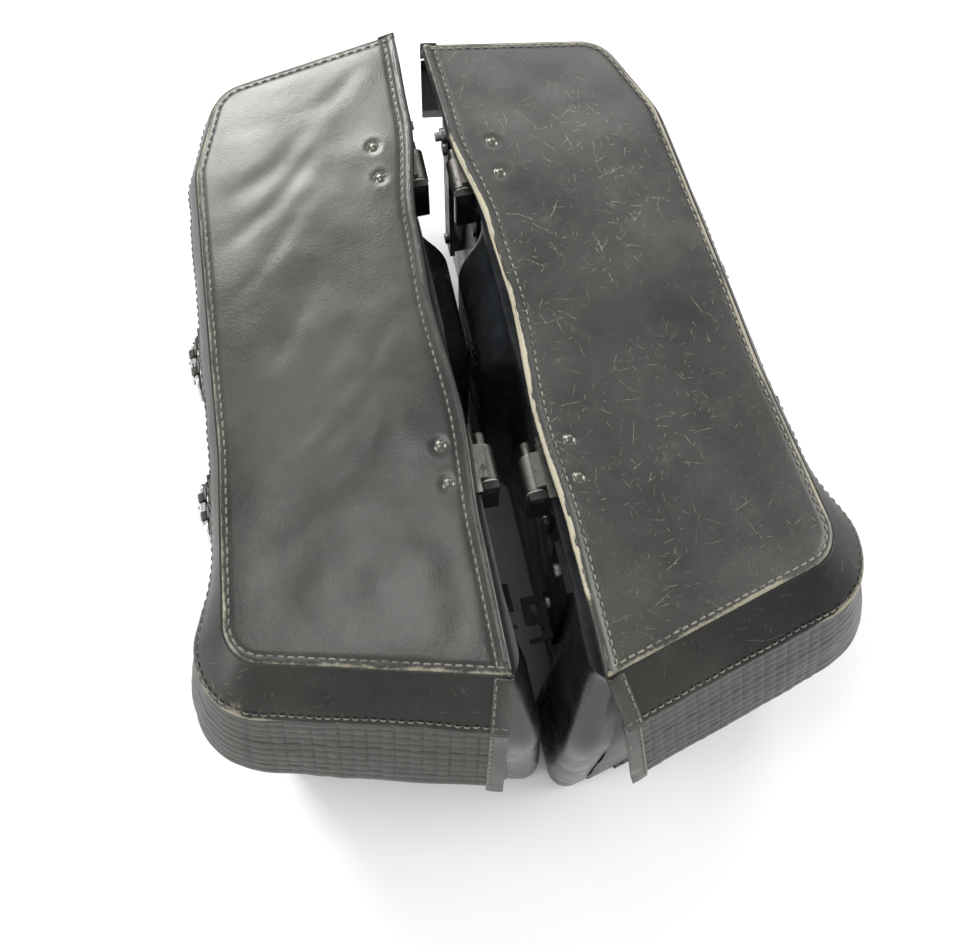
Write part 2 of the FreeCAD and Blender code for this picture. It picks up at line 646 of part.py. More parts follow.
def strap_base(y):
    """Where the strap's reach is counted from, so that its front corner clears the skirt."""
    front_corner = y - size("strap_width") / 2
    return seam_a(front_corner) + size("strap_gap"), surface_z(seam_a(y), y)


def extruded(side, y, corners, width):
    """A section in the plane across the bag, made width wide about y."""
    wire = Part.makePolygon([point(side, a, y - width / 2, z) for a, z in corners + corners[:1]])
    return Part.Face(wire).extrude(FreeCAD.Vector(0, width, 0))


def tilted(side, y, depth, lift=0.0):
    """Placement on the strap's outer face: x outward, z up along the strap."""
    base, top = strap_base(y)
    reach, lean = strap_reach(depth)
    spot = point(side, base + reach + size("strap_thick") + lift, y, top - depth)
    turn = FreeCAD.Rotation(FreeCAD.Vector(0, 1, 0), -side * math.degrees(lean))
    return FreeCAD.Placement(spot, turn)


def local_rod(name, start, direction, radius, length):
    item = bind(doc.addObject("Part::Cylinder", name), Radius=radius, Height=length)
    item.Placement = FreeCAD.Placement(start, FreeCAD.Rotation(UP, direction))
    return item


def buckle_frame(name):
    """A ring of round rod in the YZ plane, its heel bar at the origin and its toe below."""
    half = size("buckle_wide") / 2 - size("rod")
    tall = size("buckle_tall") - 2 * size("rod")
    bend = size("rod_bend")
    across = "buckle_wide - 2 * rod - 2 * rod_bend"
    along = "buckle_tall - 2 * rod - 2 * rod_bend"
    y_way = FreeCAD.Vector(0, 1, 0)
    parts = [
        local_rod(name + "Heel", FreeCAD.Vector(0, bend - half, 0), y_way, "rod", across),
        local_rod(name + "Toe", FreeCAD.Vector(0, bend - half, -tall), y_way, "rod", across),
    ]
    for index, edge in enumerate((-half, half)):
        start = FreeCAD.Vector(0, edge, bend - tall)
        parts.append(local_rod(f"{name}Side{index}", start, UP, "rod", along))
    # Quarter rings in the four corners. A torus starts in the XY plane and is stood up.
    stand = FreeCAD.Rotation(y_way, UP, FreeCAD.Vector(1, 0, 0), "ZXY")
    turns = ((1, 1, 0), (-1, 1, 90), (-1, -1, 180), (1, -1, 270))
    for index, (sign_y, sign_z, start) in enumerate(turns):
        ring = bind(doc.addObject("Part::Torus", f"{name}Bend{index}"), Radius1="rod_bend", Radius2="rod")
        ring.Angle3 = 90
        spin = FreeCAD.Rotation(UP, start)
        centre_z = -bend if sign_z > 0 else bend - tall
        spot = FreeCAD.Vector(0, sign_y * (half - bend), centre_z)
        ring.Placement = FreeCAD.Placement(spot, stand.multiply(spin))
        parts.append(ring)
    return joined(name, *parts)


def buckle_prong(name):
    """The prong: a ring round the heel bar and a rod that lies over the toe bar."""
    y_way = FreeCAD.Vector(0, 1, 0)
    ring = local_rod(name + "Ring", FreeCAD.Vector(0, -size("ring_width") / 2, 0), y_way,
                     "rod + loose + ring_wall", "ring_width")
    hole = local_rod(name + "Hole", FreeCAD.Vector(0, -size("ring_width"), 0), y_way, "rod + loose",
                     "2 * ring_width")
    over = size("rod") + size("prong") + 0.25
    foot = FreeCAD.Vector(over, 0, -size("buckle_tall") - size("prong_tail") / 2)
    shaft = local_rod(name + "Shaft", foot, UP, "prong", "buckle_tall + prong_tail")
    return cut(name, joined(name + "Solid", ring, shaft), hole)


def chape(name):
    """The short leather loop that holds the heel bar, with a slot for the prong."""
    y_way = FreeCAD.Vector(0, 1, 0)
    wide = size("chape_width")
    lift = size("heel_lift") - 0.1
    plate = bind(doc.addObject("Part::Box", name + "Plate"), Length="chape_thick", Width="chape_width",
                 Height="chape_tall")
    plate.Placement.Base = FreeCAD.Vector(-lift, -wide / 2, -2)
    loop = local_rod(name + "Loop", FreeCAD.Vector(0, -wide / 2, 0), y_way,
                     "rod + loose + chape_thick", "chape_width")
    hole = local_rod(name + "Hole", FreeCAD.Vector(0, -wide, 0), y_way, "rod + loose",
                     "2 * chape_width")
    slot = bind(doc.addObject("Part::Box", name + "Slot"), Length="chape_width", Width="prong_slot",
                Height="slot_tall")
    slot.Placement.Base = FreeCAD.Vector(-lift, -size("prong_slot") / 2, -size("slot_tall") / 2)
    return cut(name, joined(name + "Solid", plate, loop), group(name + "Holes", hole, slot))


def make_straps(side):
    tag = "R" if side > 0 else "L"
    straps = []
    chapes = []
    keepers = []
    sockets = []
    studs = []
    thick = size("strap_thick")
    for end in ("front", "rear"):
        name = tag + end.capitalize()
        y = size(f"strap_{end}_y")
        base, top = strap_base(y)
        section = [(base + reach, top - depth) for reach, depth in strap_path()]
        outside = [(a + thick, z) for a, z in section]
        length = extruded(side, y, section + outside[::-1], size("strap_width"))
        straps.append(shaped(name + "Strap", length))
        heel = tilted(side, y, size("buckle_depth"), size("heel_lift"))
        loop = chape(name + "Chape")
        loop.Placement = heel
        if side < 0:
            loop.Placement = heel.multiply(FreeCAD.Placement(FreeCAD.Vector(), FreeCAD.Rotation(UP, 180)))
        chapes.append(loop)
        for kind, maker in (("frame", buckle_frame), ("prong", buckle_prong)):
            item = maker(name + "Buckle" + kind.capitalize())
            item.Placement = loop.Placement
            subpart(side, f"{end}_buckle_{kind}", item)
        # Keeper: a closed leather loop round the strap, below the skirt.
        reach, _ = strap_reach(size("keeper_depth"))
        keep = size("keeper_thick")
        play = size("keeper_play")
        low = top - size("keeper_depth") - size("keeper_tall")
        wide = size("strap_width") + 2 * play
        rings = []
        for grow in (keep, 0):
            left = base + reach - play - grow - 0.4
            right = base + reach + thick + play + grow
            corners = [(left, low), (right, low), (right, low + size("keeper_tall")),
                       (left, low + size("keeper_tall"))]
            rings.append(extruded(side, y, corners, wide + 2 * grow))
        keepers.append(shaped(name + "Keeper", rings[0].cut(rings[1])))
        # Snap: a socket on the strap's back, and a stud on the tub that stops just short of it.
        reach, _ = strap_reach(size("snap_depth"))
        z = top - size("snap_depth")
        face = base + reach - size("snap_thick") - 0.3
        spot = f"{round(face, 3)}"
        height = f"{round(z, 3)}"
        sockets.append(rod_outboard(name + "Socket", side, spot, str(y), height, "snap_radius", "snap_thick"))
        skin = seam_a(y) + TUB_LEVELS[0][4] + size("cover")
        foot = f"{round(skin, 3)} + 2 * snap_gap"
        post = rod_outboard(name + "StudPost", side, foot, str(y), height, "snap_radius / 2",
                            f"{round(face - skin, 3)} - 3 * snap_gap")
        flange = rod_outboard(name + "StudFlange", side, foot, str(y), height, "snap_radius",
                              "snap_flange")
        studs.append(joined(name + "SnapStud", post, flange))
    subpart(side, "straps", group(tag + "Straps", *straps))
    subpart(side, "buckle_chapes", group(tag + "Chapes", *chapes))
    subpart(side, "strap_keepers", group(tag + "Keepers", *keepers))
    subpart(side, "snap_sockets", group(tag + "Sockets", *sockets))
    subpart(side, "snap_studs", group(tag + "SnapStuds", *studs))


for side in (-1, 1):
    make_lid(side)
    hinge_rivets = make_hinges(side)
    wall_bolts = make_brackets(side)
    make_tub(side, wall_bolts, hinge_rivets)
    make_straps(side)

doc.recompute()
for item in doc.Objects:
    if "Invalid" in item.State or "Error" in item.State:
        raise RuntimeError(f"{item.Name} failed: {item.State}")

os.makedirs("parts", exist_ok=True)
for item in SUBPARTS:
    shape = item.Shape
    if shape.isNull() or not shape.isValid() or shape.Volume <= 0:
        raise RuntimeError(f"{item.Label} has no valid shape")
    shape.exportStep(f"parts/{item.Label}.step")
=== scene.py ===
"""Looks for the pair of saddlebags: leather, weave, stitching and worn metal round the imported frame.

Metres, +Z up. Each bag is made once for side -1 (left) and side +1 (right): a place is (a, y),
with a counted outboard from X = 0 and y counted rearward from the front seam of that side's lid.
The right bag stands forward of the left one by twice STAGGER.
"""

import json
import math

import bmesh
import bpy
import numpy as np
from mathutils import Matrix, Vector, noise

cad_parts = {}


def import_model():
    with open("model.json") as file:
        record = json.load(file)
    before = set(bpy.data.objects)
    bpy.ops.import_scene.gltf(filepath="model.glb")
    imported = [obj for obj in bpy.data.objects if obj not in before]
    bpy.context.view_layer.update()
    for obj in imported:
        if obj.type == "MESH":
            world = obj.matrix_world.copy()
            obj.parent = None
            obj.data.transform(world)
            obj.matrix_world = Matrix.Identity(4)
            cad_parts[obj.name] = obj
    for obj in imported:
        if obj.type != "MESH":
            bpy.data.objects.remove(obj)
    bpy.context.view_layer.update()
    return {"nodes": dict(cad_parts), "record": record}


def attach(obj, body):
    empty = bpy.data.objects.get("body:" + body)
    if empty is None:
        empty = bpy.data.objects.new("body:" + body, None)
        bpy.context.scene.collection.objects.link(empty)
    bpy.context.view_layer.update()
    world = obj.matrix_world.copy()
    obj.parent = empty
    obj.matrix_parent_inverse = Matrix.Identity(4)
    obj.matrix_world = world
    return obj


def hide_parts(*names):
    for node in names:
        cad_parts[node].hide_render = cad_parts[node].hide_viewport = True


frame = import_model()

SIDES = (("left", -1), ("right", 1))

# Lid outline and surface.
FRONT_Y = -0.2594
STAGGER = 0.008
LENGTH = 0.562
SEAM_Z = 0.330
CROWN = 0.010
FALL = 0.15
EDGE_FRONT = 0.032
EDGE_REAR = 0.010
SEAM_CORNERS = ((0.238, 0.061, 0.030), (0.216, 0.220, 0.150), (0.198, 0.476, 0.045),
                (0.168, 0.552, 0.030))
EDGE_WAVE = ((0, 0.032), (0.110, 0.031), (0.205, 0.0255), (0.300, 0.030), (0.372, 0.027),
             (0.478, 0.013), (0.562, 0.010))
BEAD_WIDTH = 0.005
BEAD_HEIGHT = 0.010
LEATHER = 0.0025
PAD = 0.004
SEAM_STITCH_INSET = 0.0042
EDGE_STITCH_INSET = 0.0105
RIVET_A = 0.049
RIVET_YS = (0.1505, 0.1815, 0.4225, 0.4535)

# Band and skirt that hang from the seam.
BAND_DROP = 0.034
SKIRT_DROP = 0.136
BAND_FLARES = (0.014, 0.038)
SKIRT_FLARES = (0.022, 0.068)
END_STRIP = 0.014
WEAVE_ALONG = 0.0108
WEAVE_DOWN = 0.0088
WEAVE_RISE = 0.0011

# Tub: height, nose and bulge from X = 0, the front wall's y, and the walls outside the seam.
TUB_LEVELS = ((0.008, 0.0025, 0.006, -0.048, 0.004), (0.190, 0.009, 0.003, -0.042, 0.004),
              (0.270, 0.020, 0.003, -0.014, -0.001), (0.300, 0.027, 0.028, -0.005, -0.002),
              (0.350, 0.028, 0.028, 0.000, -0.002))
WALL_A = 0.029
TUB_WALL = 0.004
COVER = 0.002
RIM_DEPTH = 0.022

# Straps on the outer side.
STRAP_YS = (0.205, 0.335)
STRAP_WIDTH = 0.030
STRAP_THICK = 0.003
STRAP_GAP = 0.001
BUCKLE_DEPTH = 0.072
HEEL_LIFT = 0.0056
CHAPE_WIDTH = 0.0235
PRONG_ROOM = 0.0064
PRONG_SLOT = 0.0165
KEEPER_DEPTH = 0.162
KEEPER_TALL = 0.014


# ---- Mesh helpers -----------------------------------------------------------------------

def ease(share):
    share = np.clip(share, 0.0, 1.0)
    return share * share * (3 - 2 * share)


def world(side, a, y, z):
    """Row-frame points from places counted outboard and rearward."""
    y = np.asarray(y) + FRONT_Y - side * STAGGER
    return np.stack(np.broadcast_arrays(side * np.asarray(a), y, z), axis=-1)


def new_mesh(name, points, faces, material, flip=False, values=None):
    """A smooth-shaded object from points and faces, with named values on its points."""
    mesh = bpy.data.meshes.new(name)
    if flip:
        faces = [face[::-1] for face in faces]
    mesh.from_pydata([tuple(p) for p in points], [], [tuple(int(i) for i in f) for f in faces])
    for key, numbers in (values or {}).items():
        attribute = mesh.attributes.new(key, "FLOAT", "POINT")
        attribute.data.foreach_set("value", np.ravel(numbers).astype(np.float32))
    mesh.polygons.foreach_set("use_smooth", [True] * len(mesh.polygons))
    mesh.materials.append(material)
    mesh.update()
    item = bpy.data.objects.new(name, mesh)
    bpy.context.scene.collection.objects.link(item)
    return item


def grid_faces(rows, columns, wrap_rows=False, wrap_columns=False, start=0):
    faces = []
    for row in range(rows if wrap_rows else rows - 1):
        below = (row + 1) % rows
        for column in range(columns if wrap_columns else columns - 1):
            beside = (column + 1) % columns
            faces.append((start + row * columns + column, start + row * columns + beside,
                          start + below * columns + beside, start + below * columns + column))
    return faces


def grid_object(name, side, grid, material, wrap_rows=False, wrap_columns=False, values=None):
    """A sheet from an array of points, rows by columns, facing out on either side."""
    rows, columns, _ = grid.shape
    faces = grid_faces(rows, columns, wrap_rows, wrap_columns)
    return new_mesh(name, grid.reshape(-1, 3), faces, material, side > 0, values)


def finish_piece(item, body, slot, *nodes):
    """Rides a piece on its body and stands it in for its CAD nodes. Its slot is not used."""
    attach(item, body)
    if nodes:
        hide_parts(*nodes)
    return item


def cloud(points, scale, seed, octaves=3):
    """Smooth noise from -1 to 1 at each point."""
    shift = Vector((seed * 7.3, seed * 3.1, seed * 5.7))
    flat = np.reshape(points, (-1, points.shape[-1]))
    out = np.empty(len(flat))
    for index, spot in enumerate(flat):
        place = Vector((*spot, 0.0)[:3]) * scale + shift
        out[index] = noise.fractal(place, 0.6, 2.0, octaves)
    return out.reshape(points.shape[:-1])


def stitches(name, points, normals, material, pitch=0.0078, long=0.0060, radius=0.00062):
    """A run of thread stitches along a line of points, each a short capsule dipping at its ends."""
    points = np.asarray(points)
    normals = np.asarray(normals)
    steps = np.linalg.norm(np.diff(points, axis=0), axis=1)
    run = np.concatenate(([0], np.cumsum(steps)))
    count = max(2, int(run[-1] / pitch))
    centres = (np.arange(count) + 0.5) * run[-1] / count
    rings = np.linspace(-1, 1, 7)
    turns = np.linspace(0, 2 * math.pi, 7)[:-1]
    verts = []
    faces = []
    for index, middle in enumerate(centres):
        wobble = 0.00018 * math.sin(index * 2.4)
        spots = middle + rings * long / 2
        line = np.stack([np.interp(spots, run, points[:, k]) for k in range(3)], axis=1)
        up = np.stack([np.interp(spots, run, normals[:, k]) for k in range(3)], axis=1)
        along = line[-1] - line[0]
        along /= np.linalg.norm(along)
        up /= np.linalg.norm(up, axis=1)[:, None]
        across = np.cross(along, up)
        lift = radius * (1.15 - 1.9 * np.abs(rings) ** 3)
        thick = radius * np.sqrt(np.clip(1.02 - rings ** 6, 0.05, 1))
        line = line + up * lift[:, None] + across * wobble
        start = len(verts)
        for ring in range(len(rings)):
            for turn in turns:
                verts.append(line[ring] + thick[ring] * (1.15 * math.cos(turn) * across[ring]
                                                         + math.sin(turn) * up[ring]))
        faces += grid_faces(len(rings), len(turns), wrap_columns=True, start=start)
        faces.append(tuple(start + k for k in range(len(turns)))[::-1])
        faces.append(tuple(start + (len(rings) - 1) * len(turns) + k for k in range(len(turns))))
    return new_mesh(name, verts, faces, material)


def lathe(name, profile, places, material, turns=28):
    """Copies of a turned profile of (radius, height), one at each (point, axis)."""
    verts = []
    faces = []
    for point, axis in places:
        spin = Vector((0, 0, 1)).rotation_difference(Vector(axis)).to_matrix()
        start = len(verts)
        for radius, height in profile:
            for turn in range(turns):
                angle = 2 * math.pi * turn / turns
                spot = Vector((radius * math.cos(angle), radius * math.sin(angle), height))
                verts.append(Vector(point) + spin @ spot)
        faces += [face[::-1] for face in grid_faces(len(profile), turns, wrap_columns=True, start=start)]
        faces.append(tuple(start + k for k in range(turns)))
        last = start + (len(profile) - 1) * turns
        faces.append(tuple(last + k for k in range(turns))[::-1])
    return new_mesh(name, verts, faces, material, flip=True)


def ribbon(name, line, across, width, thick, material, closed=False, taper=0.0):
    """A leather strip along a line, with rounded edges. across is its width's direction."""
    line = np.asarray(line, float)
    across = np.asarray(across, float)
    ahead = np.roll(line, -1, axis=0) - np.roll(line, 1, axis=0)
    if not closed:
        ahead[0] = line[1] - line[0]
        ahead[-1] = line[-1] - line[-2]
    ahead /= np.linalg.norm(ahead, axis=1)[:, None]
    face = np.cross(ahead, across)
    half = width / 2
    rim = min(thick * 0.45, 0.0012)
    section = [(-half, 0), (-half + rim * 0.3, 0.30), (-half + rim, 0.5), (-half * 0.5, 0.52),
               (0, 0.5), (half * 0.5, 0.52), (half - rim, 0.5), (half - rim * 0.3, 0.30), (half, 0),
               (half - rim * 0.3, -0.30), (half - rim, -0.5), (0, -0.5), (-half + rim, -0.5),
               (-half + rim * 0.3, -0.30)]
    rows = []
    total = len(line)
    for index in range(total):
        left = (total - 1 - index) * np.linalg.norm(line[-1] - line[-2])
        narrow = 1.0
        if taper and left < taper:
            narrow = math.sqrt(max(0.02, 1 - (1 - left / taper) ** 2.2))
        rows.append([line[index] + across * (w * narrow) + face[index] * (t * thick)
                     for w, t in section])
    rows = np.array(rows)
    faces = grid_faces(total, len(section), wrap_rows=closed, wrap_columns=True)
    if not closed:
        faces.append(tuple(range(len(section)))[::-1])
        faces.append(tuple((total - 1) * len(section) + k for k in range(len(section))))
    item = new_mesh(name, rows.reshape(-1, 3), faces, material)
    return fix_normals(item)


def fix_normals(item):
    """Turns a closed mesh's faces outward."""
    edit = bmesh.new()
    edit.from_mesh(item.data)
    bmesh.ops.recalc_face_normals(edit, faces=edit.faces)
    edit.to_mesh(item.data)
    edit.free()
    return item


def join(name, items):
    """One object from several, keeping their materials."""
    first, *rest = items
    if rest:
        with bpy.context.temp_override(active_object=first, selected_editable_objects=items):
            bpy.ops.object.join()
    first.name = name
    first.data.name = name
    return first


# ---- Shape of the lids ------------------------------------------------------------------

def fillet(corners, arc_steps, run_steps, closed=False):
    """Points along rounded corners (a, y, radius): a fixed number on each arc and each run."""
    corners = [np.array(corner, float) for corner in corners]
    count = len(corners)
    pieces = []
    ends = []
    for index in range(count):
        here = corners[index][:2]
        if not closed and index in (0, count - 1):
            pieces.append(here[None])
            ends.append((here, here))
            continue
        radius = corners[index][2]
        before = here - corners[index - 1][:2]
        after = corners[(index + 1) % count][:2] - here
        before /= np.linalg.norm(before)
        after /= np.linalg.norm(after)
        turn = math.atan2(before[0] * after[1] - before[1] * after[0], before @ after)
        reach = radius * math.tan(abs(turn) / 2)
        start = here - before * reach
        centre = start + np.array((-before[1], before[0])) * math.copysign(radius, turn)
        arc = []
        for step in range(arc_steps + 1):
            angle = turn * step / arc_steps
            arm = start - centre
            arc.append(centre + np.array((arm[0] * math.cos(angle) - arm[1] * math.sin(angle),
                                          arm[0] * math.sin(angle) + arm[1] * math.cos(angle))))
        pieces.append(np.array(arc))
        ends.append((arc[0], arc[-1]))
    path = []
    for index, piece in enumerate(pieces):
        path.extend(piece)
        if index == count - 1 and not closed:
            break
        near = ends[index][1]
        far = ends[(index + 1) % count][0]
        for step in range(1, run_steps):
            path.append(near + (far - near) * step / run_steps)
    return np.array(path)


def evenly(path, step=None, count=None):
    """A line resampled at even spacing."""
    run = np.concatenate(([0], np.cumsum(np.linalg.norm(np.diff(path, axis=0), axis=1))))
    if count is None:
        count = max(2, round(run[-1] / step) + 1)
    spots = np.linspace(0, run[-1], count)
    return np.stack([np.interp(spots, run, path[:, k]) for k in range(path.shape[1])], axis=1)


def outward(path, smooth=3):
    """Unit directions to the right of a line in plan, softened a little."""
    along = np.gradient(path, axis=0)
    out = np.stack((along[:, 1], -along[:, 0]), axis=1)
    for _ in range(smooth):
        out[1:-1] = (out[:-2] + out[1:-1] * 2 + out[2:]) / 4
    return out / np.linalg.norm(out, axis=1)[:, None]


def inner_edge(y):
    ys = np.array([p[0] for p in EDGE_WAVE])
    places = np.array([p[1] for p in EDGE_WAVE])
    step = np.clip(np.searchsorted(ys, y, side="right") - 1, 0, len(ys) - 2)
    share = ease((y - ys[step]) / (ys[step + 1] - ys[step]))
    return places[step] + (places[step + 1] - places[step]) * share


def surface_z(a, y):
    """Height of the crowned, outward-falling surface of the lids."""
    half = LENGTH / 2
    radius = (half * half + CROWN * CROWN) / (2 * CROWN)
    sag = radius - np.sqrt(radius * radius - (y - half) ** 2)
    return SEAM_Z + CROWN - (a - EDGE_FRONT) * FALL - sag / math.cos(math.atan(FALL))


SEAM = evenly(fillet([(EDGE_FRONT, 0, 0), *SEAM_CORNERS, (EDGE_REAR, LENGTH, 0)], 16, 12), step=0.002)
SEAM_OUT = outward(SEAM)
EDGE_YS = np.linspace(0, LENGTH, 260)
EDGE = np.stack((inner_edge(EDGE_YS), EDGE_YS), axis=1)


def nearest(points, line):
    """Distance from each point to a line of points."""
    flat = points.reshape(-1, 2)
    best = np.full(len(flat), 9.0)
    for start in range(0, len(line), 64):
        gap = np.linalg.norm(flat[:, None] - line[None, start:start + 64], axis=2)
        best = np.minimum(best, gap.min(axis=1))
    return best.reshape(points.shape[:-1])


# Soft creases of each lid: start, end, width and depth, as (a, y) places.
CREASES = {
    "left": (((0.190, 0.395), (0.085, 0.470), 0.008, 0.00046), ((0.175, 0.440), (0.080, 0.500), 0.010, 0.0005),
             ((0.200, 0.340), (0.110, 0.415), 0.007, 0.00029), ((0.150, 0.205), (0.060, 0.290), 0.006, 0.00038),
             ((0.165, 0.235), (0.095, 0.300), 0.009, 0.00034), ((0.135, 0.165), (0.070, 0.235), 0.006, 0.00025),
             ((0.185, 0.270), (0.120, 0.330), 0.007, 0.00025), ((0.075, 0.020), (0.050, 0.120), 0.012, 0.0005),
             ((0.110, 0.505), (0.040, 0.535), 0.009, 0.00038)),
    "right": (((0.070, 0.060), (0.150, 0.095), 0.012, 0.00029), ((0.185, 0.300), (0.120, 0.360), 0.009, 0.00021),
              ((0.060, 0.470), (0.130, 0.520), 0.010, 0.00025), ((0.090, 0.190), (0.170, 0.230), 0.010, 0.00017)),
}


def crease_depth(points, name):
    depth = np.zeros(points.shape[:-1])
    for start, end, wide, deep in CREASES[name]:
        start = np.array(start)
        run = np.array(end) - start
        share = np.clip(((points - start) @ run) / (run @ run), -0.15, 1.15)
        bow = 0.006 * np.sin(share * math.pi * 1.3)
        side_way = np.array((-run[1], run[0])) / np.linalg.norm(run)
        across = (points - start) @ side_way - bow
        fade = ease((share + 0.15) / 0.4) * ease((1.15 - share) / 0.4)
        valley = np.exp(-(across / wide) ** 2)
        ridge = np.exp(-((across - wide * 1.7) / (wide * 1.2)) ** 2)
        depth += deep * fade * (0.55 * ridge - valley)
    return depth


def lid_height(points, name, seed):
    """Height of the worn leather top over (a, y), with seams, puckers, creases and dimples."""
    a, y = points[..., 0], points[..., 1]
    to_seam = nearest(points, SEAM)
    to_edge = nearest(points, EDGE)
    z = surface_z(a, y)
    z -= 0.0011 * np.exp(-(to_seam / 0.0016) ** 2)
    z -= 0.0008 * np.exp(-((to_seam - SEAM_STITCH_INSET) / 0.0016) ** 2)
    z -= 0.0009 * np.exp(-((to_edge - EDGE_STITCH_INSET) / 0.0020) ** 2)
    z += 0.0016 * np.exp(-((to_edge - 0.0045) / 0.0035) ** 2)
    z += 0.0014 * (1 - np.exp(-to_seam / 0.012)) * (1 - np.exp(-np.maximum(to_edge - 0.009, 0) / 0.014))
    away = 1 - np.exp(-np.minimum(to_seam, to_edge) / 0.02)
    z += away * (0.0020 * cloud(points, 6, seed) + 0.0007 * cloud(points, 17, seed + 3, 2))
    z += away * crease_depth(points, name)
    for rivet_y in RIVET_YS:
        gap = np.hypot(a - RIVET_A, y - rivet_y)
        z += -0.0010 * np.exp(-(gap / 0.0075) ** 2) + 0.0003 * np.exp(-((gap - 0.0088) / 0.0030) ** 2)
    return z


def lid_patch(rows, columns, inset=0.0):
    """Places over the lid, from its front seam to its rear seam and from edge to outer seam."""
    seam = SEAM - SEAM_OUT * inset
    front_end = int(np.argmin(np.linalg.norm(SEAM - np.array(SEAM_CORNERS[0][:2]), axis=1)))
    rear_end = int(np.argmin(np.linalg.norm(SEAM - np.array(SEAM_CORNERS[3][:2]), axis=1)))
    front = evenly(seam[:front_end + 1], count=columns)
    rear = evenly(seam[rear_end:][::-1], count=columns)
    outer = evenly(seam[front_end:rear_end + 1], count=rows)
    ys = np.linspace(front[0][1], rear[0][1], rows)
    inner = np.stack((inner_edge(ys) + BEAD_WIDTH * 0.5 + inset, ys), axis=1)
    front[0], rear[0] = inner[0], inner[-1]
    u = np.linspace(0, 1, rows)[:, None, None]
    v = np.linspace(0, 1, columns)[None, :, None]
    ruled = (1 - u) * front[None] + u * rear[None] + (1 - v) * inner[:, None] + v * outer[:, None]
    bilinear = ((1 - u) * (1 - v) * inner[0] + (1 - u) * v * outer[0]
                + u * (1 - v) * inner[-1] + u * v * outer[-1])
    return ruled - bilinear


def border(patch):
    """The rim of a patch of places as one closed loop, and the loop's grid indices."""
    rows, columns = patch.shape[:2]
    loop = ([(0, c) for c in range(columns)] + [(r, columns - 1) for r in range(1, rows)]
            + [(rows - 1, c) for c in range(columns - 2, -1, -1)] + [(r, 0) for r in range(rows - 2, 0, -1)])
    return loop


# ---- Materials --------------------------------------------------------------------------

